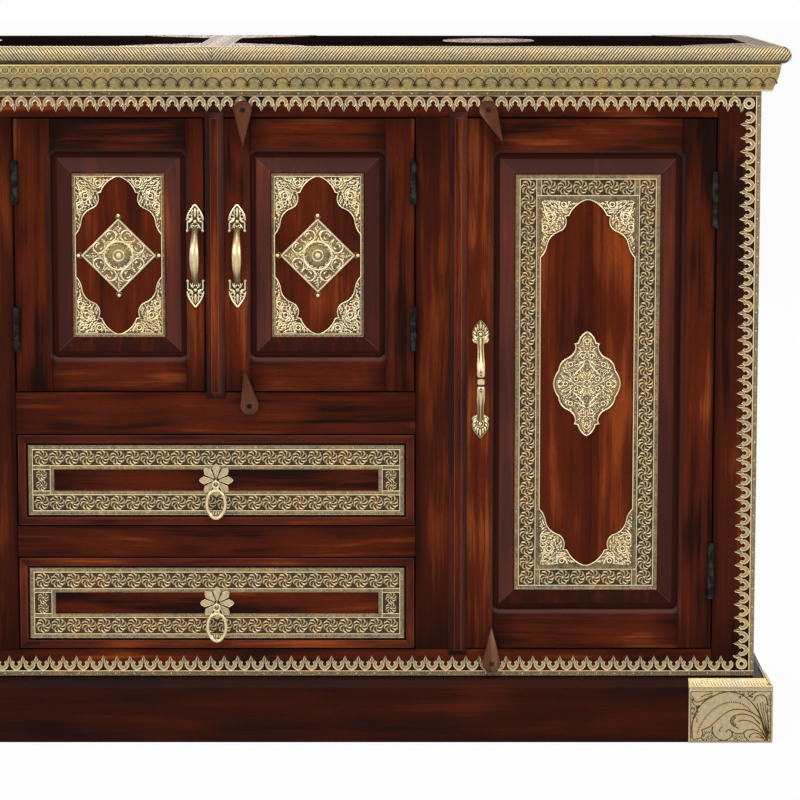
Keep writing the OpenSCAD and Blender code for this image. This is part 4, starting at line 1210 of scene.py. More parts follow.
class SIDEBOARD_OT_strips(bpy.types.Operator):
    """Plane the moulded strips on the doors' meeting edges, with sloped flanks and mitred ends"""
    bl_idname = "sideboard.strips"
    bl_label = "Strips"

    FOOT, CREST = 2.4, 7.8  # heights of the plain foot and of the flat top

    def execute(self, context):
        for seed, (name, body) in enumerate((("small_right_strip", "door_small_right"),
                                             ("tall_right_strip", "door_tall_right"),
                                             ("tall_left_strip", "door_tall_left"))):
            low, high = mm_box(name)
            bm = flat_board(rectangle(low.x, low.z, high.x, high.z), self.FOOT)
            round_edges(bm, lambda e: all(v.co.z > self.FOOT - 0.1 for v in e.verts), 0.6, 2)
            top = top_face(bm)
            inset(bm, top, 0.4)
            inset(bm, top, (high.x - low.x) * 0.27, self.CREST - self.FOOT)
            inset(bm, top, 0.9)
            round_edges(bm, lambda e: all(v.co.z > self.CREST - 0.1 for v in e.verts)
                        and is_sharp(e, 0.4), 0.45, 2)
            round_edges(bm, lambda e: max(v.co.z for v in e.verts) > self.CREST - 0.4
                        and abs(min(v.co.z for v in e.verts) - self.FOOT) < 0.1, 0.4, 2)
            lay_grain(bm, 60 + seed, (1, 0, 2), shades=(0.01,))
            middle = (low.x + high.x) / 2
            shade_verts(bm, lambda v: self.shade(v, v.co.x - middle, v.co.y - low.z))
            lay(bm, front_at(0, high.y, 0))
            piece(name + "_wood", bm, "case", body, [name], BOARD_EDGE)
        return {"FINISHED"}

    def shade(self, vert, right, up):
        """Painted highlights and sheen on the arrises above duller flanks; the left flank, the lower end and
        the foot are painted in shadow, the right flank gets a painted sheen.
        """
        high = vert.co.z
        if high > self.CREST - 0.2:
            # painted highlight and sheen on the arrises
            return (0.22, 0.26) if any(f.normal.z < 0.97 for f in vert.link_faces) else None
        if high < self.FOOT - 0.4:
            return -0.25, 0.0
        return (-0.22, 0.05) if right < 0 or up < 7 else (-0.08, 0.13)


class SIDEBOARD_OT_buttons(bpy.types.Operator):
    """Shape the wooden turn buttons and drive a slotted screw in each"""
    bl_idname = "sideboard.buttons"
    bl_label = "Turn buttons"

    RADIUS, LONG, THICK = 11.5, 47.8, 8.0  # of the round end, from its middle to the tip, of the wood
    SCREW = 3.2  # radius of the screw's head

    def execute(self, context):
        bodies = {n: b for b, ns in frame["record"]["behaviour"]["bodies"].items() for n in ns}
        rows = (("small_top", 37.0, 814.5, 0, 1), ("small_bottom", 43.5, 436.0, 187.5, 1),
                ("right_top", 347.0, 814.5, 24, 1), ("right_bottom", 353.5, 100.5, 180, 1),
                ("left_top", 347.0, 814.5, 24, -1), ("left_bottom", 353.5, 100.5, 180, -1))
        for seed, (name, x, z, turn, side) in enumerate(rows):
            node = "button_" + name
            back = mm_box(node)[1].y
            bm = flat_board(self.outline(), self.THICK)
            round_edges(bm, lambda e: all(v.co.z > self.THICK - 0.1 for v in e.verts), 1.6)
            lay_grain(bm, 90 + seed, (1, 0, 2))
            place = front_at(x, back, z, side) @ turned(0, 0, turn)
            piece(node + "_wood", lay(bm, place), "button", bodies[node], [node])
            piece(node + "_screw", lay(screw(self.SCREW, self.THICK), place), "iron", bodies[node],
                  [node])
        return {"FINISHED"}

    def outline(self):
        """A teardrop that hangs from its round end."""
        a = math.acos(self.RADIUS / self.LONG)
        steps = [-math.pi / 2 + a + (math.tau - 2 * a) * k / 24 for k in range(25)]
        return [(self.RADIUS * math.cos(t), self.RADIUS * math.sin(t)) for t in steps] + [(0, -self.LONG)]


def screw(radius, level):
    """A round head with a slot, standing a little proud of a surface at the given level."""
    bm = bmesh.new()
    made = bmesh.ops.create_cone(bm, cap_ends=True, segments=20, radius1=radius, radius2=radius * 0.86,
                                 depth=1.3)["verts"]
    bmesh.ops.translate(bm, vec=(0, 0, level + 0.5), verts=made)
    top = top_face(bm)
    slot = bmesh.ops.bisect_plane(bm, geom=[top, *top.edges, *top.verts], plane_co=(0, 0, 0),
                                  plane_no=(0.8, 0.6, 0))["geom_cut"]
    cut = [e for e in slot if isinstance(e, bmesh.types.BMEdge)]
    made = bmesh.ops.bevel(bm, geom=cut, offset=0.55, offset_type="OFFSET", affect="EDGES", segments=1,
                           profile=0.5, material=-1)["faces"]
    raise_faces(bm, made, -0.7)
    bmesh.ops.delete(bm, geom=[f for f in made if f.is_valid], context="FACES_ONLY")
    bmesh.ops.recalc_face_normals(bm, faces=bm.faces)
    return bm


class SIDEBOARD_OT_handles(bpy.types.Operator):
    """Cast the bow handles: a fluted grip with collars between two palmette leaves"""
    bl_idname = "sideboard.handles"
    bl_label = "Handles"

    def execute(self, context):
        for door in ("small_left", "small_right", "tall_left", "tall_right"):
            node = door + "_handle"
            low, high = mm_box(node)
            middle, half = (low + high) / 2, (high.z - low.z) / 2
            small = door.startswith("small")
            r = Relief()
            mesh, reach = (self.shield(), 18) if small else (self.palmette(), 15)
            r.stamp_all(mesh, *(turned(0, up * (half - reach)) @ Matrix.Diagonal((1, up, 1, 1))
                                for up in (1, -1)))
            (self.strap if small else self.baluster)(r, half - 2 * reach + 5, -low.y + FRONT_Y)
            r.piece(node + "_brass", "cast brass", "door_" + door, [node], "cast_brass",
                    front_at(middle.x, FRONT_Y, middle.z))
        return {"FINISHED"}

    def strokes(self, part, rows, shape=leaf):
        """Raised strokes with their mirror images, each as (half width, height, points)."""
        for half, high, points in rows:
            for path in mirrored(flow(points, 3)):
                part.band(path, half, high, ROUND, shape=shape)

    def shield(self):
        """The small handles' ends: two posts, a boss and scrolls with dark eyes above a pointed leaf."""
        part = Relief()
        edge = [(9.6, -16), (10.2, -4), (9.2, 3), (5.4, 11.2), (0, 18)]
        part.sheet(both_halves(edge), (), 1.3, 0.03)
        part.floor = 1.3
        self.strokes(part, ((1.2, 1.4, [(9.5, -15.5), (9.6, -10), (9.7, -5)]),
                            (0.6, 0.9, [(6.6, -13), (4.6, -8.6), (2.2, -6.6)]),
                            (1.25, 1.5, [(10.4, -2.6), (9.3, 3.2), (6.0, 9.8), (2.8, 14.2), (0.3, 17.4)])),
                     same)
        self.strokes(part, ((1.9, 1.9, [(10.8, -4.2), (7.6, -4.4), (4.4, -2.0), (2.6, 2.2)]),
                            (1.2, 1.4, [(2.2, 2.8), (3.9, 7), (2.0, 12.6)]),
                            (1.5, 1.7, [(0.2, 0.4), (0.4, 6), (0.2, 13.6)])))
        for side in (1, -1):
            part.band(circle(2.5, 12, (6.3 * side, 1.8)), 0.75, 1.3, ROUND, closed=True)
            part.band(circle(1.7, 10, (2.6 * side, -10.8)), 0.7, 1.0, ROUND, closed=True)
            part.dome((9.8 * side, -16.0), 2.1, 2.0, 10, 2, foot=0.4)
        part.dome((0, -4.4), 2.8, 2.6, 12, 3, foot=0.3)
        return part.motif()

    def palmette(self):
        """The tall handles' ends: veins that fan out round an oval boss."""
        part = Relief()
        edge = [(4.8, -15), (8.2, -13.4), (10.3, -9.6), (9.5, -6), (10.6, -2.6), (9.6, 2.2), (6.6, 7.6),
                (3.2, 12), (0, 15)]
        part.sheet(both_halves(edge), (), 1.3, 0.12)
        part.floor = 1.3
        self.strokes(part, ((0.7, 1.6, edge),), same)
        self.strokes(part, ((1.6, 1.7, [(2.4, -10.6), (6.4, -9.8), (9.8, -6.4)]),
                            (1.4, 1.6, [(2.0, -8.2), (6.6, -6.8), (10.2, -2.4)]),
                            (1.5, 1.7, [(5.0, -4.0), (7.8, -1.6), (9.0, 2.0)]),
                            (1.5, 1.7, [(3.8, -0.6), (6.2, 2.6), (6.6, 6.8)]),
                            (1.4, 1.7, [(1.8, 1.2), (3.6, 5.0), (3.4, 10.8)]),
                            (1.1, 1.5, [(0.3, 2.0), (0.6, 7.4), (0.2, 14)])))
        for path in mirrored(flow([(4.0, -15), (5.4, -12.6), (8.6, -12.2), (10.2, -9.4)], 3)):
            part.band(path, 1.3, 1.5, ROUND)
        part.band([(0, -15), (0, -13), (0, -10)], 4.6, 2.0, ROUND, tone=0.6)
        part.band(circle(4.4, 14, (0, -3.4)), 0.7, 1.3, ROUND, closed=True)
        part.dome((0, -3.4), 2.9, 2.4, 12, 3, foot=0.3)
        return part.motif()

    def sweep(self, reach, rise, steps, flat, flutes):
        """A bar along a bow of the given reach and rise, from (share, half width, depth, tone) rows."""
        radius = (reach * reach + rise * rise) / (2 * rise)
        spread = math.asin(min(1.0, reach / radius))
        rows = [(-s, *rest) for s, *rest in reversed(steps[1:])] + list(steps)
        around = 24
        bm = bmesh.new()
        layer = bm.verts.layers.float.new("tone")
        grid = bmesh.ops.create_grid(bm, x_segments=len(rows) - 1, y_segments=around, size=1)["verts"]
        for j in range(around + 1):
            turn = math.tau * j / around
            for i, (share, size, flute, tone) in enumerate(rows):
                a = share * spread
                ripple = (1 - math.cos(flutes * (turn - math.pi / 2))) / 2
                thick = size * (1 - flute * ripple)
                centre = Vector((0, radius * math.sin(a), rise - radius * (1 - math.cos(a))))
                normal = Vector((0, math.sin(a), math.cos(a)))
                vert = grid[j * len(rows) + i]
                vert.co = (centre + normal * (thick * flat * math.sin(turn))
                           + Vector((thick * math.cos(turn), 0, 0)))
                vert[layer] = tone * (1 - min(0.95, 5.5 * flute * ripple))
        bmesh.ops.remove_doubles(bm, verts=bm.verts, dist=0.001)
        bmesh.ops.recalc_face_normals(bm, faces=bm.faces)
        bmesh.ops.holes_fill(bm, edges=[e for e in bm.edges if e.is_boundary], sides=0)
        return bm, radius

    def strap(self, r, reach, out):
        """The small handles' grip: a smooth bar, widest in its middle, with a groove down each side and a
        painted highlight in its middle.
        """
        # painted highlight: the tone is brightest in the bow's middle and falls off towards the leaves
        steps = ((0, 6.4, 0.05, 1.0), (0.2, 6.2, 0.05, 0.92), (0.45, 5.2, 0.06, 0.66), (0.7, 4.3, 0.08, 0.6),
                 (0.9, 4.1, 0.10, 0.5), (1.0, 4.6, 0.12, 0.3))
        r.take(self.sweep(reach, out - 4.6, steps, 0.62, 6)[0])

    def baluster(self, r, reach, out):
        """The tall handles' grip: two fluted halves with a dark drop and a bead, and a band between."""
        # share of the way from the middle, half width, depth of the flutes, tone
        steps = ((0, 5.2, 0, 0.9), (0.05, 5.2, 0, 0.85), (0.066, 4.1, 0, 0.03), (0.096, 4.1, 0, 0.03),
                 (0.11, 5.0, 0, 0.9), (0.15, 5.6, 0.02, 0.9), (0.26, 5.7, 0.06, 0.95),
                 (0.38, 5.6, 0.12, 0.95), (0.55, 4.7, 0.18, 0.9), (0.75, 4.3, 0.18, 0.85),
                 (0.9, 4.9, 0.14, 0.75), (1.0, 6.0, 0.1, 0.55))
        rise = out - 4.6
        bm, radius = self.sweep(reach, rise, steps, 0.8, 6)
        r.take(bm)
        drop = Relief()
        drop.band([(0, y) for y in (7.4, 9.6, 12.0, 15.2, 19.0)], 2.6, 0.3,
                  ((-1, 0, 0.9), (-0.7, 1, 1), (-0.55, 0.4, 0.0), (0.55, 0.4, 0.0), (0.7, 1, 1), (1, 0, 0.9)),
                  shape=lambda t: (0.3, 1.0, 1.0, 0.6, 0.1)[round(t * 4)])
        drop.dome((0, 10.6), 1.35, 1.2, 8, 2)
        mesh = drop.motif()
        for up in (1, -1):
            copy = mesh.copy()
            for vert in copy.vertices:
                x, y, w = vert.co
                vert.co = (x, up * y, w + 4.45 + math.sqrt(radius * radius - y * y) - radius + rise)
            if up < 0:
                copy.flip_normals()
            r.bm.from_mesh(copy)
            bpy.data.meshes.remove(copy)
        bpy.data.meshes.remove(mesh)


def tube(path, size, closed=True, around=10, plane=(0, 0, 1)):
    """A round bar along points that lie in a plane, given by its normal; bright on its front."""
    rows = len(path) + 1 if closed else len(path)
    bm = bmesh.new()
    layer = bm.verts.layers.float.new("tone")
    grid = bmesh.ops.create_grid(bm, x_segments=rows - 1, y_segments=around, size=1)["verts"]
    for i in range(rows):
        before, here, after = neighbours(path, i, closed)
        along = (after - before).normalized()
        side = along.cross(Vector(plane)).normalized()
        up = side.cross(along)
        for j in range(around + 1):
            a = math.tau * j / around
            vert = grid[j * rows + i]
            vert.co = here + side * size * math.cos(a) + up * size * math.sin(a)
            vert[layer] = 0.55 + 0.45 * (vert.co - here).z / size
    bmesh.ops.remove_doubles(bm, verts=bm.verts, dist=0.001)
    bmesh.ops.holes_fill(bm, edges=[e for e in bm.edges if e.is_boundary], sides=0)
    bmesh.ops.recalc_face_normals(bm, faces=bm.faces)
    return bm


class SIDEBOARD_OT_rings(bpy.types.Operator):
    """Cast the pear-shaped rings that hang from the drawers' flowers"""
    bl_idname = "sideboard.rings"
    bl_label = "Ring pulls"

    EYE = 4.2  # radius of the eye that hangs in the staple

    def execute(self, context):
        for level in ("upper", "lower"):
            node = f"drawer_{level}_ring"
            low, high = mm_box(node)
            middle = (low + high) / 2
            r = Relief()
            self.loop(r)
            r.piece(node + "_brass", "cast brass", "ring_" + level, [node], "cast_brass",
                    front_at(middle.x, middle.y, high.z - self.EYE))
        return {"FINISHED"}

    def loop(self, r):
        """An eye that hangs in the staple, an egg-shaped hoop below it, and a palmette at its foot."""
        eye = self.EYE
        r.take(tube([(eye * math.sin(a), eye * math.cos(a) - eye, 0)
                     for a in (math.tau * k / 20 for k in range(20))], 1.5))
        half = flow([(0, -12.2), (5.4, -13.6), (9.6, -18.4), (11.7, -26.6), (11.2, -35), (7.8, -42.8),
                     (3.4, -47), (0, -48)], 3)
        hoop = half + [Vector((-p.x, p.y)) for p in reversed(half)][1:-1]
        r.take(tube([(p.x, p.y, 0) for p in hoop], 2.25))
        r.floor = 0.2
        for side in (1, -1):
            r.band([(1.2 * side, -8.6), (2.4 * side, -10.8), (5.4 * side, -14)], 1.5, 1.7, ROUND)
            for foot, top, bulge in (((1.0, -47.6), (9.2, -40.4), 1.6), ((0.8, -46.6), (6.4, -39.2), 1.6),
                                     ((0.4, -45.6), (3.4, -37.6), 1.2)):
                path = arc((side * foot[0], foot[1]), (side * top[0], top[1]), -bulge * side, 5)
                r.band(path, 1.25, 2.0, ROUND, shape=comma)
        r.band([(0, -46), (0, -42), (0, -37)], 1.3, 2.2, ROUND, shape=leaf)
        r.dome((0, -46.4), 2.4, 2.6, 10, 2)


def lines(r, half_w, half_h, insets):
    """Straight raised lines round a rectangle, each as (inset, half width, height, kind)."""
    nail_pitch = 25.0
    for inward, half, high, kind in insets:
        path = within(half_w, half_h, inward)
        if kind == "milled":
            milled(r, path, half, high=high)
        elif kind == "nails":
            for point in even(path, nail_pitch, closed=True):
                r.dome(point, half, high, 6, 1)
        else:
            r.band(path, half, high, kind, closed=True)


def corner_plates(r, half_w, half_h, drops, spot_w, spot_h, seed):
    """Leafwork in the four corners between a cusped opening and its frame."""
    edge = beside(cusp_quarter(half_w, half_h), 2.0, closed=False)
    edge = [p for p in edge if p.x < half_w - 0.5 and p.y < half_h - 0.5]
    outline = edge + [Vector((half_w - 0.5, edge[-1].y)), Vector((half_w - 0.5, half_h - 0.5)),
                      Vector((edge[0].x, half_h - 0.5))]
    work = Relief()
    root = Vector((spot_w - 1.5, spot_h - 1.5))
    dots = []
    for right, down, spin in drops:
        dot = Vector((spot_w - right, spot_h - down))
        dots.append((dot.x, dot.y, 3.7, spin))
        work.ring_dot(dot)
        aim = math.degrees(math.atan2(root.y - dot.y, root.x - dot.x))
        turn = curl(dot, 6.3, 5.3, aim - 55 * spin, aim + 190 * spin, 9)
        stem = [p for p in flow([root, root.lerp(turn[0], 0.5), turn[0], turn[2]], 3)[:-3]] + turn[1:]
        stem = [p for p in stem if inside(p, outline)]
        if len(stem) > 3:
            work.band(stem, 1.0, 0.95, ROUND, shape=lambda t: 0.4 + 0.6 * min(1, t * 2))
    foliage(work, outline, dots, root, seed=seed)
    r.stamp_all(work.motif(), *QUARTERS)


def strip(r, one, other, tone=0.34):
    """A smooth strip between two blocks of rosettes, with a raised line along each long side."""
    (x0, x1), (y0, y1) = sorted((one[0], other[0])), sorted((one[1], other[1]))
    r.sheet(rectangle(x0, y0, x1, y1), (), 0.8, tone, 0.3)
    ends = (((x0, y0), (x0, y1)), ((x1, y0), (x1, y1)))
    if x1 - x0 > y1 - y0:
        ends = (((x0, y0), (x1, y0)), ((x0, y1), (x1, y1)))
    r.floor = 1.1
    for path in ends:
        r.band(path, 0.65, 1.0, ROUND)


def small_plate(half_w, half_h):
    """Brass round a small door's panel: narrow margins and leafwork in the corners."""
    r = Relief()
    border = 4.5
    opening = cusps(half_w - border, half_h - border)
    r.sheet(within(half_w, half_h), [opening], 1.1, 0.22)
    r.floor = 1.1
    lines(r, half_w, half_h, ((0.55, 0.5, 0.5, RIDGE), (2.1, 0.75, 0.6, "milled"),
                              (3.75, 0.55, 0.8, ROUND), (2.1, 1.15, 0.8, "nails")))
    r.band(beside(opening, 0.85), 0.8, 0.9, ROUND, closed=True)
    corner_plates(r, half_w - border, half_h - border, ((14.6, 25.2, 1), (30.3, 9.0, -1), (6.4, 39.6, -1)),
                  half_w - 3, half_h - 3, 5)
    return r


def volute():
    """One scroll of the lozenge: open to its left, with a comma and two beads inside."""
    r = Relief()
    r.band(curl((0, 0), 7.9, 6.4, -135, 160, 14), 1.15, 1.2, ROUND,
           shape=lambda t: 0.6 + 0.4 * math.sin(math.pi * t))
    r.band(curl((-0.6, 0.2), 4.1, 2.6, 200, 20, 7), 1.25, 1.1, ROUND, shape=comma)
    r.band(curl((-0.4, -1.2), 3.6, 2.4, -160, -10, 6), 1.1, 1.0, ROUND, shape=comma)
    for spot in ((0.6, 3.3), (0.7, -2.9), (-4.6, 1.2)):
        r.dome(spot, 1.4, 1.2, 6, 2)
    return r.motif()


def lozenge():
    """The small doors' medallion: scrolls round a flower boss, with a ball at each corner."""
    r = Relief()
    r.sheet(diamond(48), (), 1.6, 0.32)
    r.floor = 1.6
    r.band(even(diamond(46), 1.7, closed=True), 1.45, 1.2, ROUND, closed=True, beads=(0.7, 0.75))
    r.band(diamond(41.9), 0.5, 0.7, closed=True)
    r.band(circle(18.0, 40), 1.5, 2.1, ROUND, closed=True)
    r.band(circle(15.2, 32), 0.5, 0.7, RIDGE, closed=True)
    scroll = volute()
    for k in range(4):
        spin = turned(0, 0, 90 * k)
        for side in (1, -1):
            place = spin @ turned(0, 0, 22.6 * side) @ turned(0, 27.4)
            r.stamp(scroll, place if side > 0 else place @ MIRROR)
        part = Relief()
        part.band(flow([(0, 38.0), (0, 40.6), (0, 43.4)], 2), 1.6, 1.1, shape=leaf)
        part.band([(-5.6, 37.0), (-2.4, 34.6), (0, 32.4), (2.4, 34.6), (5.6, 37.0)], 0.75, 0.8, shape=swell)
        part.dome((0, 22.4), 1.1, 0.9, 6, 1)
        part.band(flow([(-3.6, 50.2), (-2.9, 47.6), (0, 46.8), (2.9, 47.6), (3.6, 50.2)], 2), 0.8, 1.2)
        part.dome((0, 51.1), 2.8, 2.4, 12, 3, foot=0.35)
        r.stamp_all(part.motif(), spin)
        part = Relief()
        part.dome((0, 29.0), 1.5, 1.2, 8, 2)
        part.band(flow([(0, 20.6), (0, 23.5), (0, 26.4)], 2), 1.3, 0.9, shape=leaf)
        for side in (1, -1):
            part.band(arc((1.2 * side, 26.0), (5.4 * side, 28.6), 1.2 * side, 4), 0.8, 0.8, shape=leaf)
            part.band(arc((7.4 * side, 25.0), (10.6 * side, 28.6), 0.9 * side, 3), 0.8, 0.8, shape=leaf)
            part.band(arc((2.9 * side, 30.6), (9.2 * side, 30.4), 0.8 * side, 4), 0.6, 0.6, shape=leaf)
        r.stamp_all(part.motif(), spin @ turned(0, 0, 45))
    bpy.data.meshes.remove(scroll)
    eyes = [(28.5 * math.cos(a), 28.5 * math.sin(a), 8.4, 1)
            for a in (math.radians(90 * k + 90 + s * 22.6) for k in range(4) for s in (1, -1))]
    foliage(r, diamond(41), [(0, 0, 19.5, 1), *eyes], (0, 0), 3.0, 8, 1.9, 0.2, 0.9)
    r.dome((0, 0), 14.6, 0.8, 32, 3, tone=0.42, foot=0.6)
    for k in range(20):
        a = math.tau * k / 20
        out = Vector((math.cos(a), math.sin(a)))
        side = Vector((-out.y, out.x)) * 0.5
        r.band([out * 7.8, out * 10 + side, out * 12.4 + side, out * 14.3], 1.15, 1.5, shape=leaf)
    r.band(circle(6.9, 20), 1.0, 1.9, ROUND, closed=True)
    r.dome((0, 0), 4.3, 3.0, 14, 3, foot=0.1)
    return r


def tall_plate(half_w, half_h):
    """Brass round a tall door's panel: a border of rosettes and leafwork in the corners."""
    r = Relief()
    border, edge, inner = 32.5, 5.9, 26.3
    opening = cusps(half_w - border, half_h - border)
    ground, field = within(half_w, half_h, edge), within(half_w, half_h, inner)
    r.sheet(within(half_w, half_h), [ground], 1.1, 0.34)
    r.sheet(ground, [field], 0.8, 0.03)
    r.sheet(field, [opening], 1.1, 0.28)
    r.floor = 1.1
    lines(r, half_w, half_h, (
        (0.6, 0.55, 0.55, RIDGE), (2.8, 0.8, 0.6, "milled"), (5.5, 0.75, 1.0, ROUND),
        (2.9, 1.2, 0.8, "nails"), (26.6, 0.75, 1.0, ROUND), (29.3, 0.8, 0.6, "milled"),
        (29.4, 1.2, 0.8, "nails"), (31.9, 0.5, 0.7, RIDGE)))
    r.band(beside(opening, 0.85), 0.8, 0.9, ROUND, closed=True)
    corner_plates(r, half_w - border, half_h - border,
                  ((12.1, 21.2, 1), (28.6, 5.4, -1), (4.6, 34.9, -1)),
                  half_w - border, half_h - border, 9)
    r.floor = 0.8
    motif = pinwheel(10.0)
    middle = (edge + inner) / 2
    x, y = half_w - middle, half_h - middle
    room = half_w - border
    down = round(2 * y / (sizes().rosette / MM))
    over = round(2 * room / (sizes().rosette / MM))
    for k in range(down + 1):
        for side in (1, -1):
            r.stamp(motif, turned(side * x, -y + 2 * y * k / down, 22.5 * (k % 2)))
    for k in range(over):
        for side in (1, -1):
            r.stamp(motif, turned(-room + 2 * room * (k + 0.5) / over, side * y, 22.5 * (k % 2)))
    bpy.data.meshes.remove(motif)
    for side in (1, -1):
        for low in (-half_h + edge, half_h - inner):
            strip(r, (side * room, low), (side * (half_w - inner), low + inner - edge))
    return r


def tall_medallion():
    """The tall doors' medallion: ring dots in dense scrolls within a cusped outline."""
    right = join(arc((0, 68.2), (11.8, 53.4), 2.2, 5), [(16.9, 52.2)], arc((16.9, 52.2), (15.4, 44.6), -1, 3),
                 arc((15.4, 44.6), (24.6, 34.2), -1.6, 4), arc((24.6, 34.2), (36.8, 17.4), 3.0, 5),
                 [(38.9, 14.4)], arc((38.9, 14.4), (43.4, 0), 0.9, 3))
    right = right + [Vector((p.x, -p.y)) for p in reversed(right)][1:]
    outline = right + [Vector((-p.x, p.y)) for p in reversed(right)][1:-1]
    r = Relief()
    r.sheet(outline, (), 1.6, 0.33)
    r.floor = 1.6
    r.band(beside(outline, -1.0), 1.0, 1.2, ROUND, closed=True)
    r.band(beside(outline, -3.0), 0.4, 0.6, RIDGE, closed=True)
    r.band(circle(4.7, 18), 0.8, 1.1, ROUND, closed=True)
    r.dome((0, 0), 1.9, 1.4, 8, 2)
    quarter = Relief()
    dots = [(13.7, 6.5, 3.2, 1), (27.5, 0, 3.3, -1), (20.9, 25.3, 3.3, 1), (5.6, 36, 2.9, -1),
            (0, 55.3, 3.4, 1), (0, 22.6, 2.3, 1)]
    for x, y, size, _ in dots:
        if x and y:
            quarter.ring_dot((x, y), size)
    strokes = (
        ((5.2, 0.6), (8.5, 2.6), (12.5, 1.4), (17, 0.4)), ((0.9, 6.2), (1.6, 10), (4.2, 14.5)),
        ((3.6, 5.0), (6.4, 9.4), (11, 12.2)), ((0, 26.4), (4.2, 24.6), (8.4, 19.6), (13.2, 14.8), (19.8, 9)),
        ((0, 31.2), (6.2, 28.0), (12, 22.2)), ((0, 33.6), (1.8, 37), (1.2, 41.5), (6.6, 42.4)),
        ((19, 9.6), (21.8, 4.5), (22.6, 0)), ((6.5, 47.6), (4.4, 51.4), (5.6, 56.6), (3.2, 60.6)),
        ((12.8, 47.5), (8.4, 44.6), (9.6, 39.6), (13.2, 36.6)), ((24.4, 30), (26.8, 24.6), (24.6, 20.4)),
        ((31.6, 4.2), (35.2, 2.6), (38.2, 0)), ((27, 6.0), (31.5, 9.6), (32.4, 15.4)))
    for stroke in strokes:
        quarter.band(flow(stroke, 3), 0.8, 1.0, ROUND, shape=swell)
    zone = [p for p in beside(outline, -3.6) if p.x >= 0 and p.y >= 0] + [Vector((0, 0))]
    foliage(quarter, zone, dots, (0, 0), 3.3, 21, 2.1, 0.9, 0.7)
    r.stamp_all(quarter.motif(), *QUARTERS)
    for spot, size in (((27.5, 0), 3.3), ((-27.5, 0), 3.3), ((0, 55.3), 3.4), ((0, -55.3), 3.4)):
        r.ring_dot(spot, size)
    for side in (1, -1):
        r.dome((0, 22.6 * side), 1.7, 1.0, 6, 1)
    return r


class SIDEBOARD_OT_door_brass(bpy.types.Operator):
    """Emboss the sheet brass on the four door panels: the cusped borders and the medallions"""
    bl_idname = "sideboard.door_brass"
    bl_label = "Door brass"

    def execute(self, context):
        for kind, plate, medal in (("small", small_plate, lozenge), ("tall", tall_plate, tall_medallion)):
            for side, hand in ((1, "right"), (-1, "left")):
                name, body = f"{kind}_{hand}", f"door_{kind}_{hand}"
                low, high = own_box(name + "_brass", side)
                middle, half = (low + high) / 2, (high - low) / 2
                place = front_at(middle.x, high.y, middle.z, side)
                for relief, part in ((plate(half.x, half.z), "border"), (medal(), "medallion")):
                    relief.piece(f"{name}_{part}_brass", "brass", body, [name + "_brass"],
                                 "sheet_brass", place)
        return {"FINISHED"}


class SIDEBOARD_OT_drawer_brass(bpy.types.Operator):
    """Emboss the drawers' brass: two rows of rosettes, blocks at the ends, and the pull's flower"""
    bl_idname = "sideboard.drawer_brass"
    bl_label = "Drawer brass"

    def execute(self, context):
        for level in ("upper", "lower"):
            node = f"drawer_{level}_brass"
            low, high = mm_box(node)
            middle, half = (low + high) / 2, (high - low) / 2
            r = self.sheets(half.x, half.z)
            self.flower(r)
            r.piece(f"drawer_{level}_border_brass", "brass", "drawer_" + level, [node], "sheet_brass",
                    front_at(middle.x, high.y, middle.z))
        return {"FINISHED"}

    def sheets(self, half_w, half_h):
        r = Relief()
        edge, block, field = 5.9, 33.0, 14.0
        inner_w, inner_h = half_w - block + 5.2, field + 5.2
        ground, frame_of_field = within(half_w, half_h, edge), within(inner_w, inner_h)
        r.sheet(within(half_w, half_h), [ground], 1.1, 0.36)
        r.sheet(ground, [frame_of_field], 0.8, 0.08)
        r.sheet(frame_of_field, [within(half_w - block, field)], 1.1, 0.38)
        r.floor = 1.1
        lines(r, half_w, half_h, ((0.6, 0.55, 0.55, RIDGE), (2.8, 0.8, 0.6, "milled"),
                                  (5.5, 0.75, 1.0, ROUND), (2.9, 1.2, 0.8, "nails")))
        lines(r, inner_w, inner_h, ((0.3, 0.7, 1.0, ROUND), (2.6, 0.8, 0.6, "milled"),
                                    (2.6, 1.2, 0.8, "nails"), (4.7, 0.45, 0.6, RIDGE)))
        r.floor = 0.8
        wide = (half_h - edge - inner_h) / 2
        motif = pinwheel(min(10.0, wide * 1.04))
        x, y = (half_w - edge + inner_w) / 2, (half_h - edge + inner_h) / 2
        count = round(2 * x / (sizes().rosette / MM))
        for side in (1, -1):
            for k in range(count + 1):
                r.stamp(motif, turned(-x + 2 * x * k / count, side * y, 22.5 * (k % 2)))
            for up in (6.9, -6.9):
                r.stamp(motif, turned(side * x, up, 22.5) @ Matrix.Scale(0.74, 4))
        for side in (1, -1):
            for up in (1, -1):
                strip(r, (side * inner_w, up * field), (side * (half_w - edge), up * inner_h), 0.36)
        bpy.data.meshes.remove(motif)
        return r

    def flower(self, r):
        """Eight kite-shaped petals and the wire staple that the ring hangs in."""
        r.floor = 1.1
        r.sheet(circle(12, 24), (), 1.2, 0.03, 1.0)
        for k in range(8):
            spin = Matrix.Rotation(math.radians(45 * k), 2)
            petal = [spin @ Vector(p) for p in (
                (-0.9, 3.6), (0.9, 3.6), (5.3, 15.6), (2.6, 20.2), (0, 22), (-2.6, 20.2), (-5.3, 15.6))]
            r.sheet(petal, (), 1.7, 0.66, 1.0)
            r.floor = 2.7
            r.band(beside(petal, 0.6), 0.6, 0.35, closed=True)
            r.floor = 1.1
        half, out = 2.75, 10
        turns = (math.pi * k / 8 for k in range(1, 8))
        staple = ([(0, half, w) for w in (2.0, 6, out)]
                  + [(0, half * math.cos(a), out + half * math.sin(a)) for a in turns]
                  + [(0, -half, w) for w in (out, 6, 2.0)])
        r.take(tube(staple, 1.05, closed=False, around=8, plane=(1, 0, 0)))


HORSESHOE = 17.28  # the width that one scallop of the fringe is drawn at


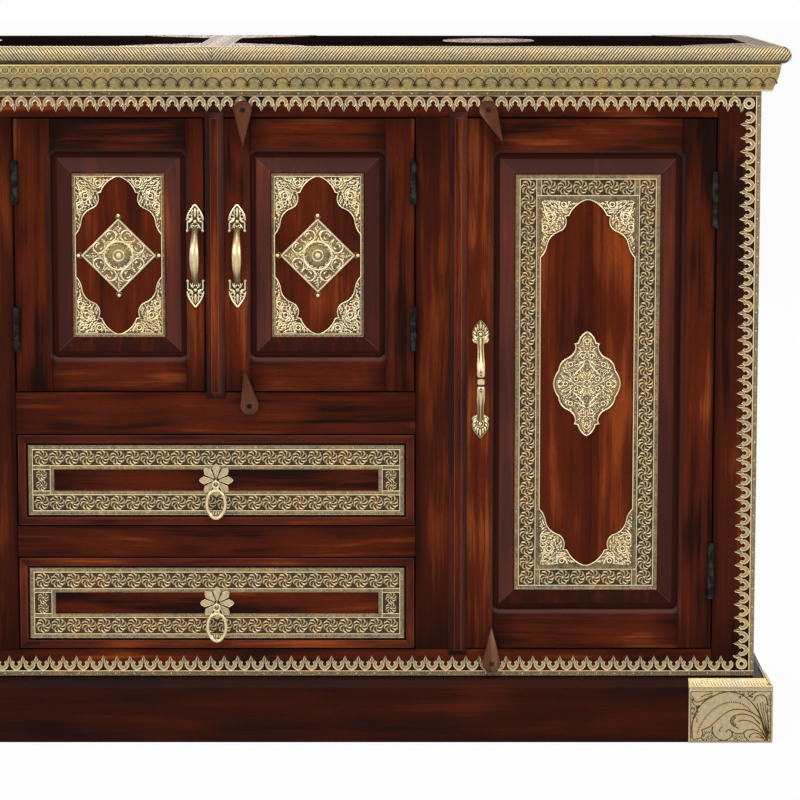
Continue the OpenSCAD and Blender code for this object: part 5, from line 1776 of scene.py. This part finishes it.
def horseshoe():
    """One scallop of the fringe, its margin towards +v: an open ring with a drop at each side."""
    r = Relief()
    wall = ((-1, 0, 0.05), (-0.92, 0.85, 0.95), (-0.35, 0.55, 0.45), (0.35, 0.55, 0.45),
            (0.92, 0.85, 0.95), (1, 0, 0.05))
    path = [Vector((5.25 * math.cos(a), -15.1 + 4.9 * math.sin(a)))
            for a in (math.radians(-52 + 284 * k / 8) for k in range(9))]
    path[4] += Vector((0, 0.9))
    r.band(path, 2.85, 1.6, wall, shape=lambda t: 0.66 + 0.34 * math.sin(math.pi * t))
    r.band([(HORSESHOE / 2, v) for v in (-15.6, -18.2, -20.6, -23.0, -26.3)], 3.3, 1.7,
           ((-1, 0, 0.1), (-0.7, 1, 1), (-0.2, 0.5, 0.25), (0.2, 0.5, 0.25), (0.7, 1, 1), (1, 0, 0.1)),
           shape=lambda t: (0.3, 0.55, 1.0, 0.62, 0.08)[round(t * 4)])
    return r.motif()


class SIDEBOARD_OT_fringe(bpy.types.Operator):
    """Cut and chase the scalloped fringe round the face frame, with its nailed margins"""
    bl_idname = "sideboard.fringe"
    bl_label = "Fringe"

    def execute(self, context):
        low, high = mm_box("fringe")
        r = Relief()
        motif = horseshoe()
        pitch = sizes().scallop / MM
        corner, margin, nail_pitch = 25.0, 6.8, 24
        wide, tall, middle = high.x - low.x, high.z - low.z, (low.z + high.z) / 2
        for turn, x, z, long in ((0, 0, high.z, wide), (180, 0, low.z, wide),
                                 (-90, high.x, middle, tall), (90, low.x, middle, tall)):
            run = long - 2 * corner
            count = round(run / pitch)
            part = Relief()
            for k in range(count):
                u = -run / 2 + run * (k + 0.5) / count
                part.stamp(motif, Matrix.Translation((u, 0, 0)) @ Matrix.Diagonal(
                    (run / count / HORSESHOE, 1, 1, 1)))
            half = long / 2 - (margin if long == tall else 0.0)
            part.sheet(rectangle(-half, -margin, half, 0), (), 0.9, 0.36)
            part.floor = 0.9
            part.band([(-half, -6.2), (half, -6.2)], 0.85, 1.1, ROUND)
            milled(part, [(-half, -0.9), (half, -0.9)], 0.5, 1.3, False, 0.4)
            milled(part, [(-half, -4.6), (half, -4.6)], 0.5, 1.3, False, 0.35)
            nails = round(long / nail_pitch)
            for k in range(nails):
                part.dome((-half + 2 * half * (k + 0.5) / nails, -3.0), 1.35, 0.9, 8, 2, foot=0.3)
            r.stamp_all(part.motif(), turned(x, z, turn))
        for sx in (1, -1):
            for z, sz in ((high.z, 1), (low.z, -1)):
                spot = Vector((sx * (high.x - 15.6), z - sz * 15.6))
                r.band(circle(5.1, 16, spot), 2.7, 1.6,
                       ((-1, 0, 0.05), (-0.8, 0.9, 1), (0, 0.55, 0.45), (0.8, 0.9, 1), (1, 0, 0.05)), True)
                inward = Vector((-sx, -sz))
                r.band([spot + inward * reach for reach in (6.5, 8.7, 11.1)], 2.2, 1.6, shape=leaf)
        bpy.data.meshes.remove(motif)
        r.piece("fringe_brass", "brass", "carcass", ["fringe"], "sheet_brass", front_at(0, high.y, 0))
        return {"FINISHED"}


class SIDEBOARD_OT_rope(bpy.types.Operator):
    """Turn the fluted rope edge round the top, its flutes meeting in the middle of the front"""
    bl_idname = "sideboard.rope"
    bl_label = "Rope edge"

    DEEP = 14.0  # from the rope's nose back to the top board
    SLANT = math.tan(math.radians(35))  # how far a flute leans for each millimetre round the nose

    def execute(self, context):
        low, high = mm_box("top_rope")
        middle_z = (low.z + high.z) / 2
        nose = (high.z - low.z) / 2
        over = high.x - CASE_HALF - nose
        whole = bmesh.new()
        whole.verts.layers.float.new("tone")
        scratch = bpy.data.meshes.new("scratch")
        front = self.run(over, nose, lambda out: CASE_HALF + out, 0.0)
        for side in (1, -1):
            for bm, place in (
                    (front, lambda s, out, z: Vector((s, FRONT_Y - out, middle_z + z))),
                    (self.run(over, nose, lambda out: out - FRONT_Y, -high.y),
                     lambda s, out, z: Vector((CASE_HALF + out, -s, middle_z + z)))):
                bm.to_mesh(scratch)
                for vert in scratch.vertices:
                    vert.co = place(*vert.co)
                if side < 0:
                    scratch.transform(MIRROR)
                    scratch.flip_normals()
                whole.from_mesh(scratch)
        bpy.data.meshes.remove(scratch)
        bmesh.ops.remove_doubles(whole, verts=whole.verts, dist=0.002)
        bmesh.ops.recalc_face_normals(whole, faces=whole.faces)
        piece("rope_edge", whole, "plain brass", "carcass", ["top_rope"],
              soft=math.radians(70))
        return {"FINISHED"}

    def run(self, over, nose, end_of, start):
        """Half a length of rope, as (along, out, up): flutes are columns that lean with the slant.

        They run out under the nose in a plain, darker fillet.
        """
        pitch = sizes().flute / MM
        turns = [90, 72, 54, 36, 18, 0, -16, -29, -38, -56, -74, -90]
        back = over + nose - self.DEEP
        rows = [(back, nose, None)] + [(over, 0, t) for t in turns] + [(back, -nose, None)]
        reach = end_of(over + nose) - start + 30
        shares = (0.0, 0.2, 0.5, 0.8)
        columns = int(reach / pitch) * 4
        bm = bmesh.new()
        layer = bm.verts.layers.float.new("tone")
        grid = bmesh.ops.create_grid(bm, x_segments=columns, y_segments=len(rows) - 1, size=1)["verts"]
        for j, (out, up, turn) in enumerate(rows):
            for i in range(columns + 1):
                share = shares[i % 4]
                crest = math.sin(math.pi * share)
                if turn is None:
                    spot, lean, crest = Vector((out, up)), math.copysign(nose * 1.57, up), 0.5
                else:
                    a = math.radians(turn)
                    fade = min(1.0, (90 - turn) / 16 + 0.25) if turn > -35 else 0.0
                    crest = crest if fade else 0.3
                    radius = nose - (1.3 * (1 - crest) * fade if fade else 0.7)
                    spot = Vector((over + radius * math.cos(a), radius * math.sin(a)))
                    lean = nose * a
                along = (i // 4 + share) * pitch - 15 + lean * self.SLANT + start
                along = min(max(along, start), end_of(spot.x))
                vert = grid[j * (columns + 1) + i]
                vert.co = (along, spot.x, spot.y)
                vert[layer] = 0.80 * crest
        bmesh.ops.remove_doubles(bm, verts=bm.verts, dist=0.002)
        return bm


def cornice_out(z, low, high):
    """How far the cornice stands out at a height above its foot."""
    share = min(1.0, max(0.0, z) / (high - low - 2))
    return 11.5 + 9.5 * math.sin(math.pi / 2 * share)


class SIDEBOARD_OT_cornice(bpy.types.Operator):
    """Bend the cornice's sheet brass and strike its circles, arches and stars"""
    bl_idname = "sideboard.cornice"
    bl_label = "Cornice"

    def execute(self, context):
        low, high = mm_box("cornice")
        tall = high.z - low.z
        circle_motif, arch_motif, star = self.motifs()
        whole = Relief()
        for open_end, long in ((False, 2 * CASE_HALF), (True, high.y - FRONT_Y)):
            r = Relief()
            self.base(r, long, tall, open_end)
            mitre = 17  # room for the motifs where two lengths meet
            spread = long + mitre * (1 if open_end else 2)
            for motif, v, pitch in ((circle_motif, 26.9, sizes().circle / MM),
                                    (arch_motif, 0.0, sizes().arch / MM)):
                count = round(spread / pitch)
                for k in range(count):
                    u = -long / 2 - mitre + spread * (k + 0.5) / count
                    r.stamp(motif, Matrix.Translation((u, v, 0)) @ Matrix.Diagonal(
                        (spread / count / pitch, 1, 1, 1)))
                    if not v and k:
                        r.stamp(star, Matrix.Translation((u - spread / count / 2, 8.3, 0)))
            mesh = r.motif()
            for vert in mesh.vertices:
                u, v, w = vert.co
                out = cornice_out(v, low.z, high.z) + w
                vert.co = (u, FRONT_Y - out, low.z + v)
                if open_end:
                    vert.co = (CASE_HALF + out, u + (FRONT_Y + high.y) / 2, low.z + v)
            whole.stamp_all(mesh, Matrix(), *([MIRROR] if open_end else []))
        for motif in (circle_motif, arch_motif, star):
            bpy.data.meshes.remove(motif)
        whole.piece("cornice_brass", "cornice brass", "carcass", ["cornice"], "sheet_brass")
        return {"FINISHED"}

    def motifs(self):
        """A stamped circle, an arch and the star struck where two arches meet."""
        r = Relief()
        r.band(circle(4.35, 12), 1.3, 0.9, ((-1, 0, 0.55), (-0.5, 1, 1), (0.15, 0.9, 1), (0.35, 0.15, 0.0),
                                            (1, 0.1, 0.0)), closed=True)
        ring = r.motif()
        r = Relief()
        half = sizes().arch / MM / 2
        path = join([(-half, 9.6)], arc((-half + 1.0, 12.4), (half - 1.0, 12.4), 5.0, 8), [(half, 9.6)])
        r.band(path, 1.35, 0.5, ((-1, 0, 0.8), (-0.55, 1, 1.0), (-0.35, 0.5, 0.0), (0.35, 0.5, 0.0),
                                 (1, 0, 0.6)))
        arch = r.motif()
        r = Relief()
        for k in range(4):
            a = math.radians(45 * k + 10)
            out = Vector((math.cos(a), math.sin(a))) * 4.3
            r.band([-out, Vector((0, 0)), out], 1.0, 0.3, ((-1, 0, 0.8), (-0.6, 1, 0.0), (0.6, 1, 0.0),
                                                           (1, 0, 0.8)),
                   shape=lambda t: (0.5, 0.9, 0.5)[round(t * 2)])
        return ring, arch, r.motif()

    def base(self, r, long, tall, open_end):
        """The plain sheet, its ends mitred, with a fine bead near each edge."""
        levels = [0, 0.8, 1.6, 2.4, 6, 12, 18, 24, 29,
                  *(tall - down for down in (3.2, 2.4, 2.05, 2, 0.2))]
        bm = bmesh.new()
        layer = bm.verts.layers.float.new("tone")
        columns = 24
        grid = bmesh.ops.create_grid(bm, x_segments=columns, y_segments=len(levels), size=1)["verts"]
        for j in range(len(levels) + 1):
            v = levels[max(0, j - 1)]
            lift = 0.0
            if j == 0:
                lift = -11.4
            elif j in (2, 3):
                lift = 0.55
            elif j >= len(levels) - 1:
                lift = 2.0
            out = cornice_out(v, 0, tall) + lift
            for i in range(columns + 1):
                share = i / columns
                if open_end:
                    u = -long / 2 - out + (long + out) * share
                else:
                    u = (share - 0.5) * (long + 2 * out)
                vert = grid[j * (columns + 1) + i]
                vert.co = (u, v, lift)
                vert[layer] = 1.0 if j in (2, 3) or j > len(levels) - 2 else 0.46
        r.take(bm)


class SIDEBOARD_OT_top_brass(bpy.types.Operator):
    """Emboss the brass on the top: its straps, the lobed corner plates and the two medallions"""
    bl_idname = "sideboard.top_brass"
    bl_label = "Top brass"

    HIGH = 0.33  # how far the relief stands above the sheet
    STRAP, END_STRAP = 21.0, 684.0  # where the corner plates begin
    END_ROW, PITCH = 697.5, 19.0  # the middle of an end strap, and from rosette to rosette
    PLATE = Vector((98.0, 105.0))  # width and depth of a corner plate
    MEDAL = Vector((66.0, 76.0))  # half width and half depth of a medallion

    def execute(self, context):
        low, high = mm_box("top_inlay")
        half_w, half_d = high.x, (high.y - low.y) / 2
        middle, sheet = (low.y + high.y) / 2, high.z - low.z - self.HIGH - 0.02
        bm = node_copy("top_inlay")
        layer = bm.verts.layers.float.new("tone")
        for vert in bm.verts:
            vert[layer] = 0.34
            vert.co = (vert.co.x, vert.co.y - middle, sheet if vert.co.z > low.z + 0.5 else 0)
        r = Relief(sheet)
        r.take(bm)
        plate, medal, pin = self.plate(), self.medal(), pinwheel(9.0)
        for v in pin.vertices:
            v.co.z = self.HIGH * min(v.co.z, 1)
        for sx in (1, -1):
            for sy in (1, -1):
                for x, flip in ((self.STRAP, 1), (self.END_STRAP, -1)):
                    r.stamp(plate, Matrix.Translation((sx * x, -sy * half_d, 0)) @ Matrix.Diagonal(
                        (sx * flip, sy, 1, 1)))
            r.stamp(medal, Matrix.Translation((sx * (self.STRAP + self.END_STRAP) / 2, 0, 0)))
            for x in (12.5, 19.2, self.END_STRAP + 1.8, half_w - 1.6):
                r.band([(sx * x, -half_d + 1), (sx * x, half_d - 1)], 0.7, self.HIGH)
        for x in (self.END_ROW, -self.END_ROW, 0):
            rosette_row(r, pin, (x, -half_d + 4), (x, half_d - 4), self.PITCH)
        for mesh in (plate, medal, pin):
            bpy.data.meshes.remove(mesh)
        r.piece("top_brass", "top brass", "carcass", ["top_inlay"], "sheet_brass",
                Matrix.Translation((0, middle, low.z)))
        return {"FINISHED"}

    def work(self, outline, dots, root, seed):
        """Ring dots and leaf strokes within an outline that has a raised edge."""
        r = Relief()
        r.band(beside(outline, 1.6), 1.0, self.HIGH, ROUND, closed=True)
        r.band(beside(outline, 4.0), 0.5, self.HIGH, closed=True)
        for x, y, size, spin in dots:
            r.band(circle(size, 18, (x, y)), size * 0.16 + 0.5, self.HIGH, ROUND, closed=True)
            r.band(curl((x, y), size + 4.4, size + 2.6, 30, 290 * spin, 12), 0.9, self.HIGH, shape=leaf)
            for k in range(8):
                out = Vector((math.cos(k * math.pi / 4), math.sin(k * math.pi / 4))) * size
                r.band([Vector((x, y)) + out * s for s in (0.18, 0.5, 0.82)], size * 0.15, self.HIGH,
                       shape=leaf)
        foliage(r, beside(outline, 5.0), dots, root, 6.6, seed, 3.9, 2.2, 1.35)
        for vert in r.bm.verts:
            vert.co.z = min(vert.co.z, self.HIGH)
        return r.motif()

    def plate(self):
        """A corner plate: its strap to the left, the top's front edge below it."""
        spots = [self.PLATE * Vector(share) for share in ((0, 1), (0.34, 0.7), (0.78, 0.4), (1, 0))]
        edge = join(*(arc(a, b, rise, 5) for a, b, rise in zip(spots, spots[1:], (4, 5, 4))))
        outline = [Vector((-1, 1)), Vector((-1, self.PLATE.y))] + edge[1:-1] + [Vector((self.PLATE.x - 1, 1))]
        outline.reverse()
        return self.work(outline, [(21, 22, 9, 1), (56, 18, 7, -1), (19, 60, 7, -1), (46, 47, 6, 1),
                                   (81, 12, 4.5, 1), (12, 85, 4.5, -1)], (0, 0), 33)

    def medal(self):
        """A medallion of eight lobes round a flower."""
        tips = [Vector((0.93 * self.MEDAL.x * math.cos(a), 0.93 * self.MEDAL.y * math.sin(a)))
                for a in (math.radians(45 * k + 22.5) for k in range(9))]
        outline = join(*(arc(a, b, -4, 5) for a, b in zip(tips, tips[1:])))[:-1]
        dots = [(0, 0, 15, 1)] + [(38 * math.cos(a), 45 * math.sin(a), 6.5, 1 if k % 2 else -1)
                                  for k, a in enumerate(math.radians(45 * k) for k in range(8))]
        return self.work(outline, dots, (0, 0), 35)


class SIDEBOARD_OT_caps(bpy.types.Operator):
    """Engrave the brass caps on the plinth's corners with acanthus leaves and a fluted bevel"""
    bl_idname = "sideboard.caps"
    bl_label = "Plinth caps"

    WIDE, DEEP, TALL = 108.0, 70.0, 71.5  # of the front face, of the side face, of both
    BEVEL_AT = 72.7  # where the bevel over them begins

    def execute(self, context):
        low, high = mm_box("plinth_caps")
        bm = node_copy("plinth_caps")
        layer = bm.verts.layers.float.new("tone")
        for vert in bm.verts:
            vert[layer] = 0.62
        r = Relief()
        r.take(bm)
        tilt = Matrix.Rotation(math.radians(-45), 4, "X")
        for wide, turn, x in ((self.WIDE, FRONT, high.x - self.WIDE), (self.DEEP, RIGHT, high.x)):
            for mesh, place in (
                    (self.face(wide), Matrix.Translation((x, low.y, 0)) @ turn),
                    (self.bevel(wide), Matrix.Translation((x, low.y, self.BEVEL_AT)) @ turn @ tilt)):
                r.stamp_all(mesh, place, MIRROR @ place)
        r.piece("plinth_cap_brass", "plain brass", "carcass", ["plinth_caps"], "sheet_brass")
        return {"FINISHED"}

    def bevel(self, long):
        """Slanting flutes on a bevel, leaning to the left as they rise."""
        r = Relief(HAIR)
        count = round(long / 4.2)
        for k in range(count):
            u = (k + 0.5) * (long - 6) / count + 1.0
            foot = Vector((u + 2.6, 0.8))
            r.band([foot, foot + Vector((-2.0, 4.6)), foot + Vector((-4.0, 9.4))], 1.55, 0.85, FLUTE,
                   shape=lambda t: (0.45, 1.0, 0.45)[round(t * 2)])
        r.band([(0.6, 0.2), (long - 0.4, 0.2)], 0.6, 0.5)
        return r.motif()

    def face(self, wide):
        """Acanthus leaves that spring from a lower corner, cut in the brass, within a dashed line.

        They are drawn on the front face and drawn in sideways for the narrower side face.
        """
        r = Relief(HAIR)
        size_u = wide / self.WIDE

        def cut(points, half=0.8):
            r.band(flow([(u * size_u, v) for u, v in points], 3), half * 1.2, 0.6, CUT)

        cut([(102, 3), (96, 21), (91, 38), (82, 52), (71, 62), (59, 66.5), (46, 67), (32, 62), (18, 53),
             (9, 40), (4.6, 25), (4.6, 10), (5.5, 5)])
        cut([(97, 16), (93, 30), (85, 38), (74, 43), (64, 44.5), (54, 43), (43, 36.5), (35, 28.5), (27, 21.5),
             (21.5, 19), (17, 17), (18.5, 13.5), (16, 7), (6, 4.6)])
        cut([(31, 22), (30.4, 15.6), (33.5, 9.4), (39.6, 4.6), (47, 3.8), (54, 7), (56.5, 11.6), (54.3, 16.4),
             (50.4, 17.2), (48.4, 14)])
        cut([(56.5, 14.8), (62.6, 12.4), (69, 12.4), (74, 16.4), (82, 17.7), (89.5, 15.6), (97, 10),
             (100.5, 3.6)])
        cut([(63, 37.5), (56, 34.2), (54, 28), (57.5, 23), (65, 19)])
        cut([(63, 37.5), (70.6, 38), (80, 35.8), (86, 31), (92, 24.5)])
        cut([(63, 28.4), (70.6, 30), (80, 28.4), (87.6, 23.6), (94.6, 15.6), (99, 7)], 0.7)
        cut([(71.5, 15), (72, 8.6), (77, 3.8)], 0.7)
        cut([(78, 6.8), (80.6, 11.6), (86, 13.2), (92, 11), (97, 6)], 0.7)
        cut([(86, 8.4), (94, 6.8), (100, 3)], 0.6)
        cut([(44, 22), (40, 18), (41, 14)], 0.6)
        cut([(83, 55), (86, 61), (93, 63.5), (99.6, 59.6), (101, 49.6)])
        cut([(81, 63), (85, 67), (90, 68)], 0.6)
        for top, foot in (((98, 52), (101.5, 34)), ((95, 54), (99, 30)), ((92, 53), (97, 30)),
                          ((101, 47), (103, 22)), ((88, 52), (94, 32))):
            cut([top, ((top[0] + foot[0]) / 2 - 0.8, (top[1] + foot[1]) / 2), foot, (102.6, 5)], 0.5)
        cut([(5, 61), (7, 55.5), (12.5, 54), (19.6, 57), (30, 63)], 0.7)
        cut([(15, 60.5), (23.6, 64), (30.6, 65.6)], 0.6)
        cut([(4.4, 58), (6, 51.5), (10.6, 48.6), (15.4, 50)], 0.6)
        row = even(flow([(u * size_u, v) for u, v in (
            (10, 13), (13, 22), (18, 31), (25, 40), (34, 48), (45, 53.6), (56, 55.4), (66, 54), (76, 48.6),
            (84, 40))], 4), 2.5)
        for a, b in zip(row, row[1:]):
            along = (b - a).normalized()
            stroke = Vector((along.x * 0.35 + along.y * 0.9, along.y * 0.35 - along.x * 0.9)) * 3.6
            r.band([a, a + stroke * 0.5, a + stroke], 0.85, 0.4, DENT, shape=leaf)
        for k in range(12):
            a = math.radians(105 + 14 * k)
            out = Vector((math.cos(a), math.sin(a)))
            start = Vector((62 * size_u, 28.4)) + out * 3.2
            r.band([start, start + out * 2.2, start + out * 4.6], 0.65, 0.3, DENT, shape=leaf)
        draw = random.Random(4)
        for low_u, high_u, low_v, high_v in ((17, 31, 2.5, 15), (57, 70, 2.5, 9.5), (4, 12, 26, 48),
                                             (64, 82, 59, 68), (102, 106, 4, 66)):
            for _ in range(round((high_u - low_u) * (high_v - low_v) / 5)):
                spot = Vector((draw.uniform(low_u, high_u) * size_u, draw.uniform(low_v, high_v)))
                step = Vector((1.3, 1.7)) if draw.random() < 0.75 else Vector((1.3, -1.5))
                r.band([spot - step * 0.6, spot + step * 0.6], 0.42, 0.22, DENT)
        border = rectangle(2.6, 2.6, wide - 2.6, self.TALL - 3.4)
        r.band(even_pairs(border, 1.5), 0.95, 0.45, DENT, True, beads=(0.3, 6.0))
        for spot in ((30 * size_u, 1.4), (62 * size_u, 1.4), (104, 1.4), (2, 30), (2, 60), (wide - 1.6, 36)):
            if spot[0] < wide:
                r.dome(spot, 1.0, 0.6, 6, 1)
        return r.motif()


OPERATORS = (SIDEBOARD_OT_stage, SIDEBOARD_OT_case, SIDEBOARD_OT_rope, SIDEBOARD_OT_top_brass,
             SIDEBOARD_OT_cornice, SIDEBOARD_OT_fringe, SIDEBOARD_OT_caps, SIDEBOARD_OT_doors,
             SIDEBOARD_OT_strips, SIDEBOARD_OT_buttons, SIDEBOARD_OT_handles, SIDEBOARD_OT_rings,
             SIDEBOARD_OT_door_brass, SIDEBOARD_OT_drawers, SIDEBOARD_OT_drawer_brass,
             SIDEBOARD_OT_plain)


class SIDEBOARD_PT_panel(bpy.types.Panel):
    """Lists the sideboard's pieces, sizes and colours"""
    bl_idname = "SIDEBOARD_PT_panel"
    bl_label = "Sideboard"
    bl_space_type = "VIEW_3D"
    bl_region_type = "UI"
    bl_category = "Sideboard"

    def draw(self, context):
        for group in (sizes(), colours()):
            box = self.layout.box()
            for key in group.__annotations__:
                box.prop(group, key)
        for operator in OPERATORS:
            self.layout.operator(operator.bl_idname)


CLASSES = (SideboardSizes, SideboardColours, *OPERATORS, SIDEBOARD_PT_panel)


def register():
    for cls in CLASSES:
        bpy.utils.register_class(cls)
    bpy.types.Scene.sideboard_sizes = bpy.props.PointerProperty(type=SideboardSizes)
    bpy.types.Scene.sideboard_colours = bpy.props.PointerProperty(type=SideboardColours)


def unregister():
    del bpy.types.Scene.sideboard_sizes
    del bpy.types.Scene.sideboard_colours
    for cls in reversed(CLASSES):
        bpy.utils.unregister_class(cls)


def main():
    register()
    for operator in OPERATORS:
        group, name = operator.bl_idname.split(".")
        getattr(getattr(bpy.ops, group), name)()


if __name__ == "__main__":
    main()
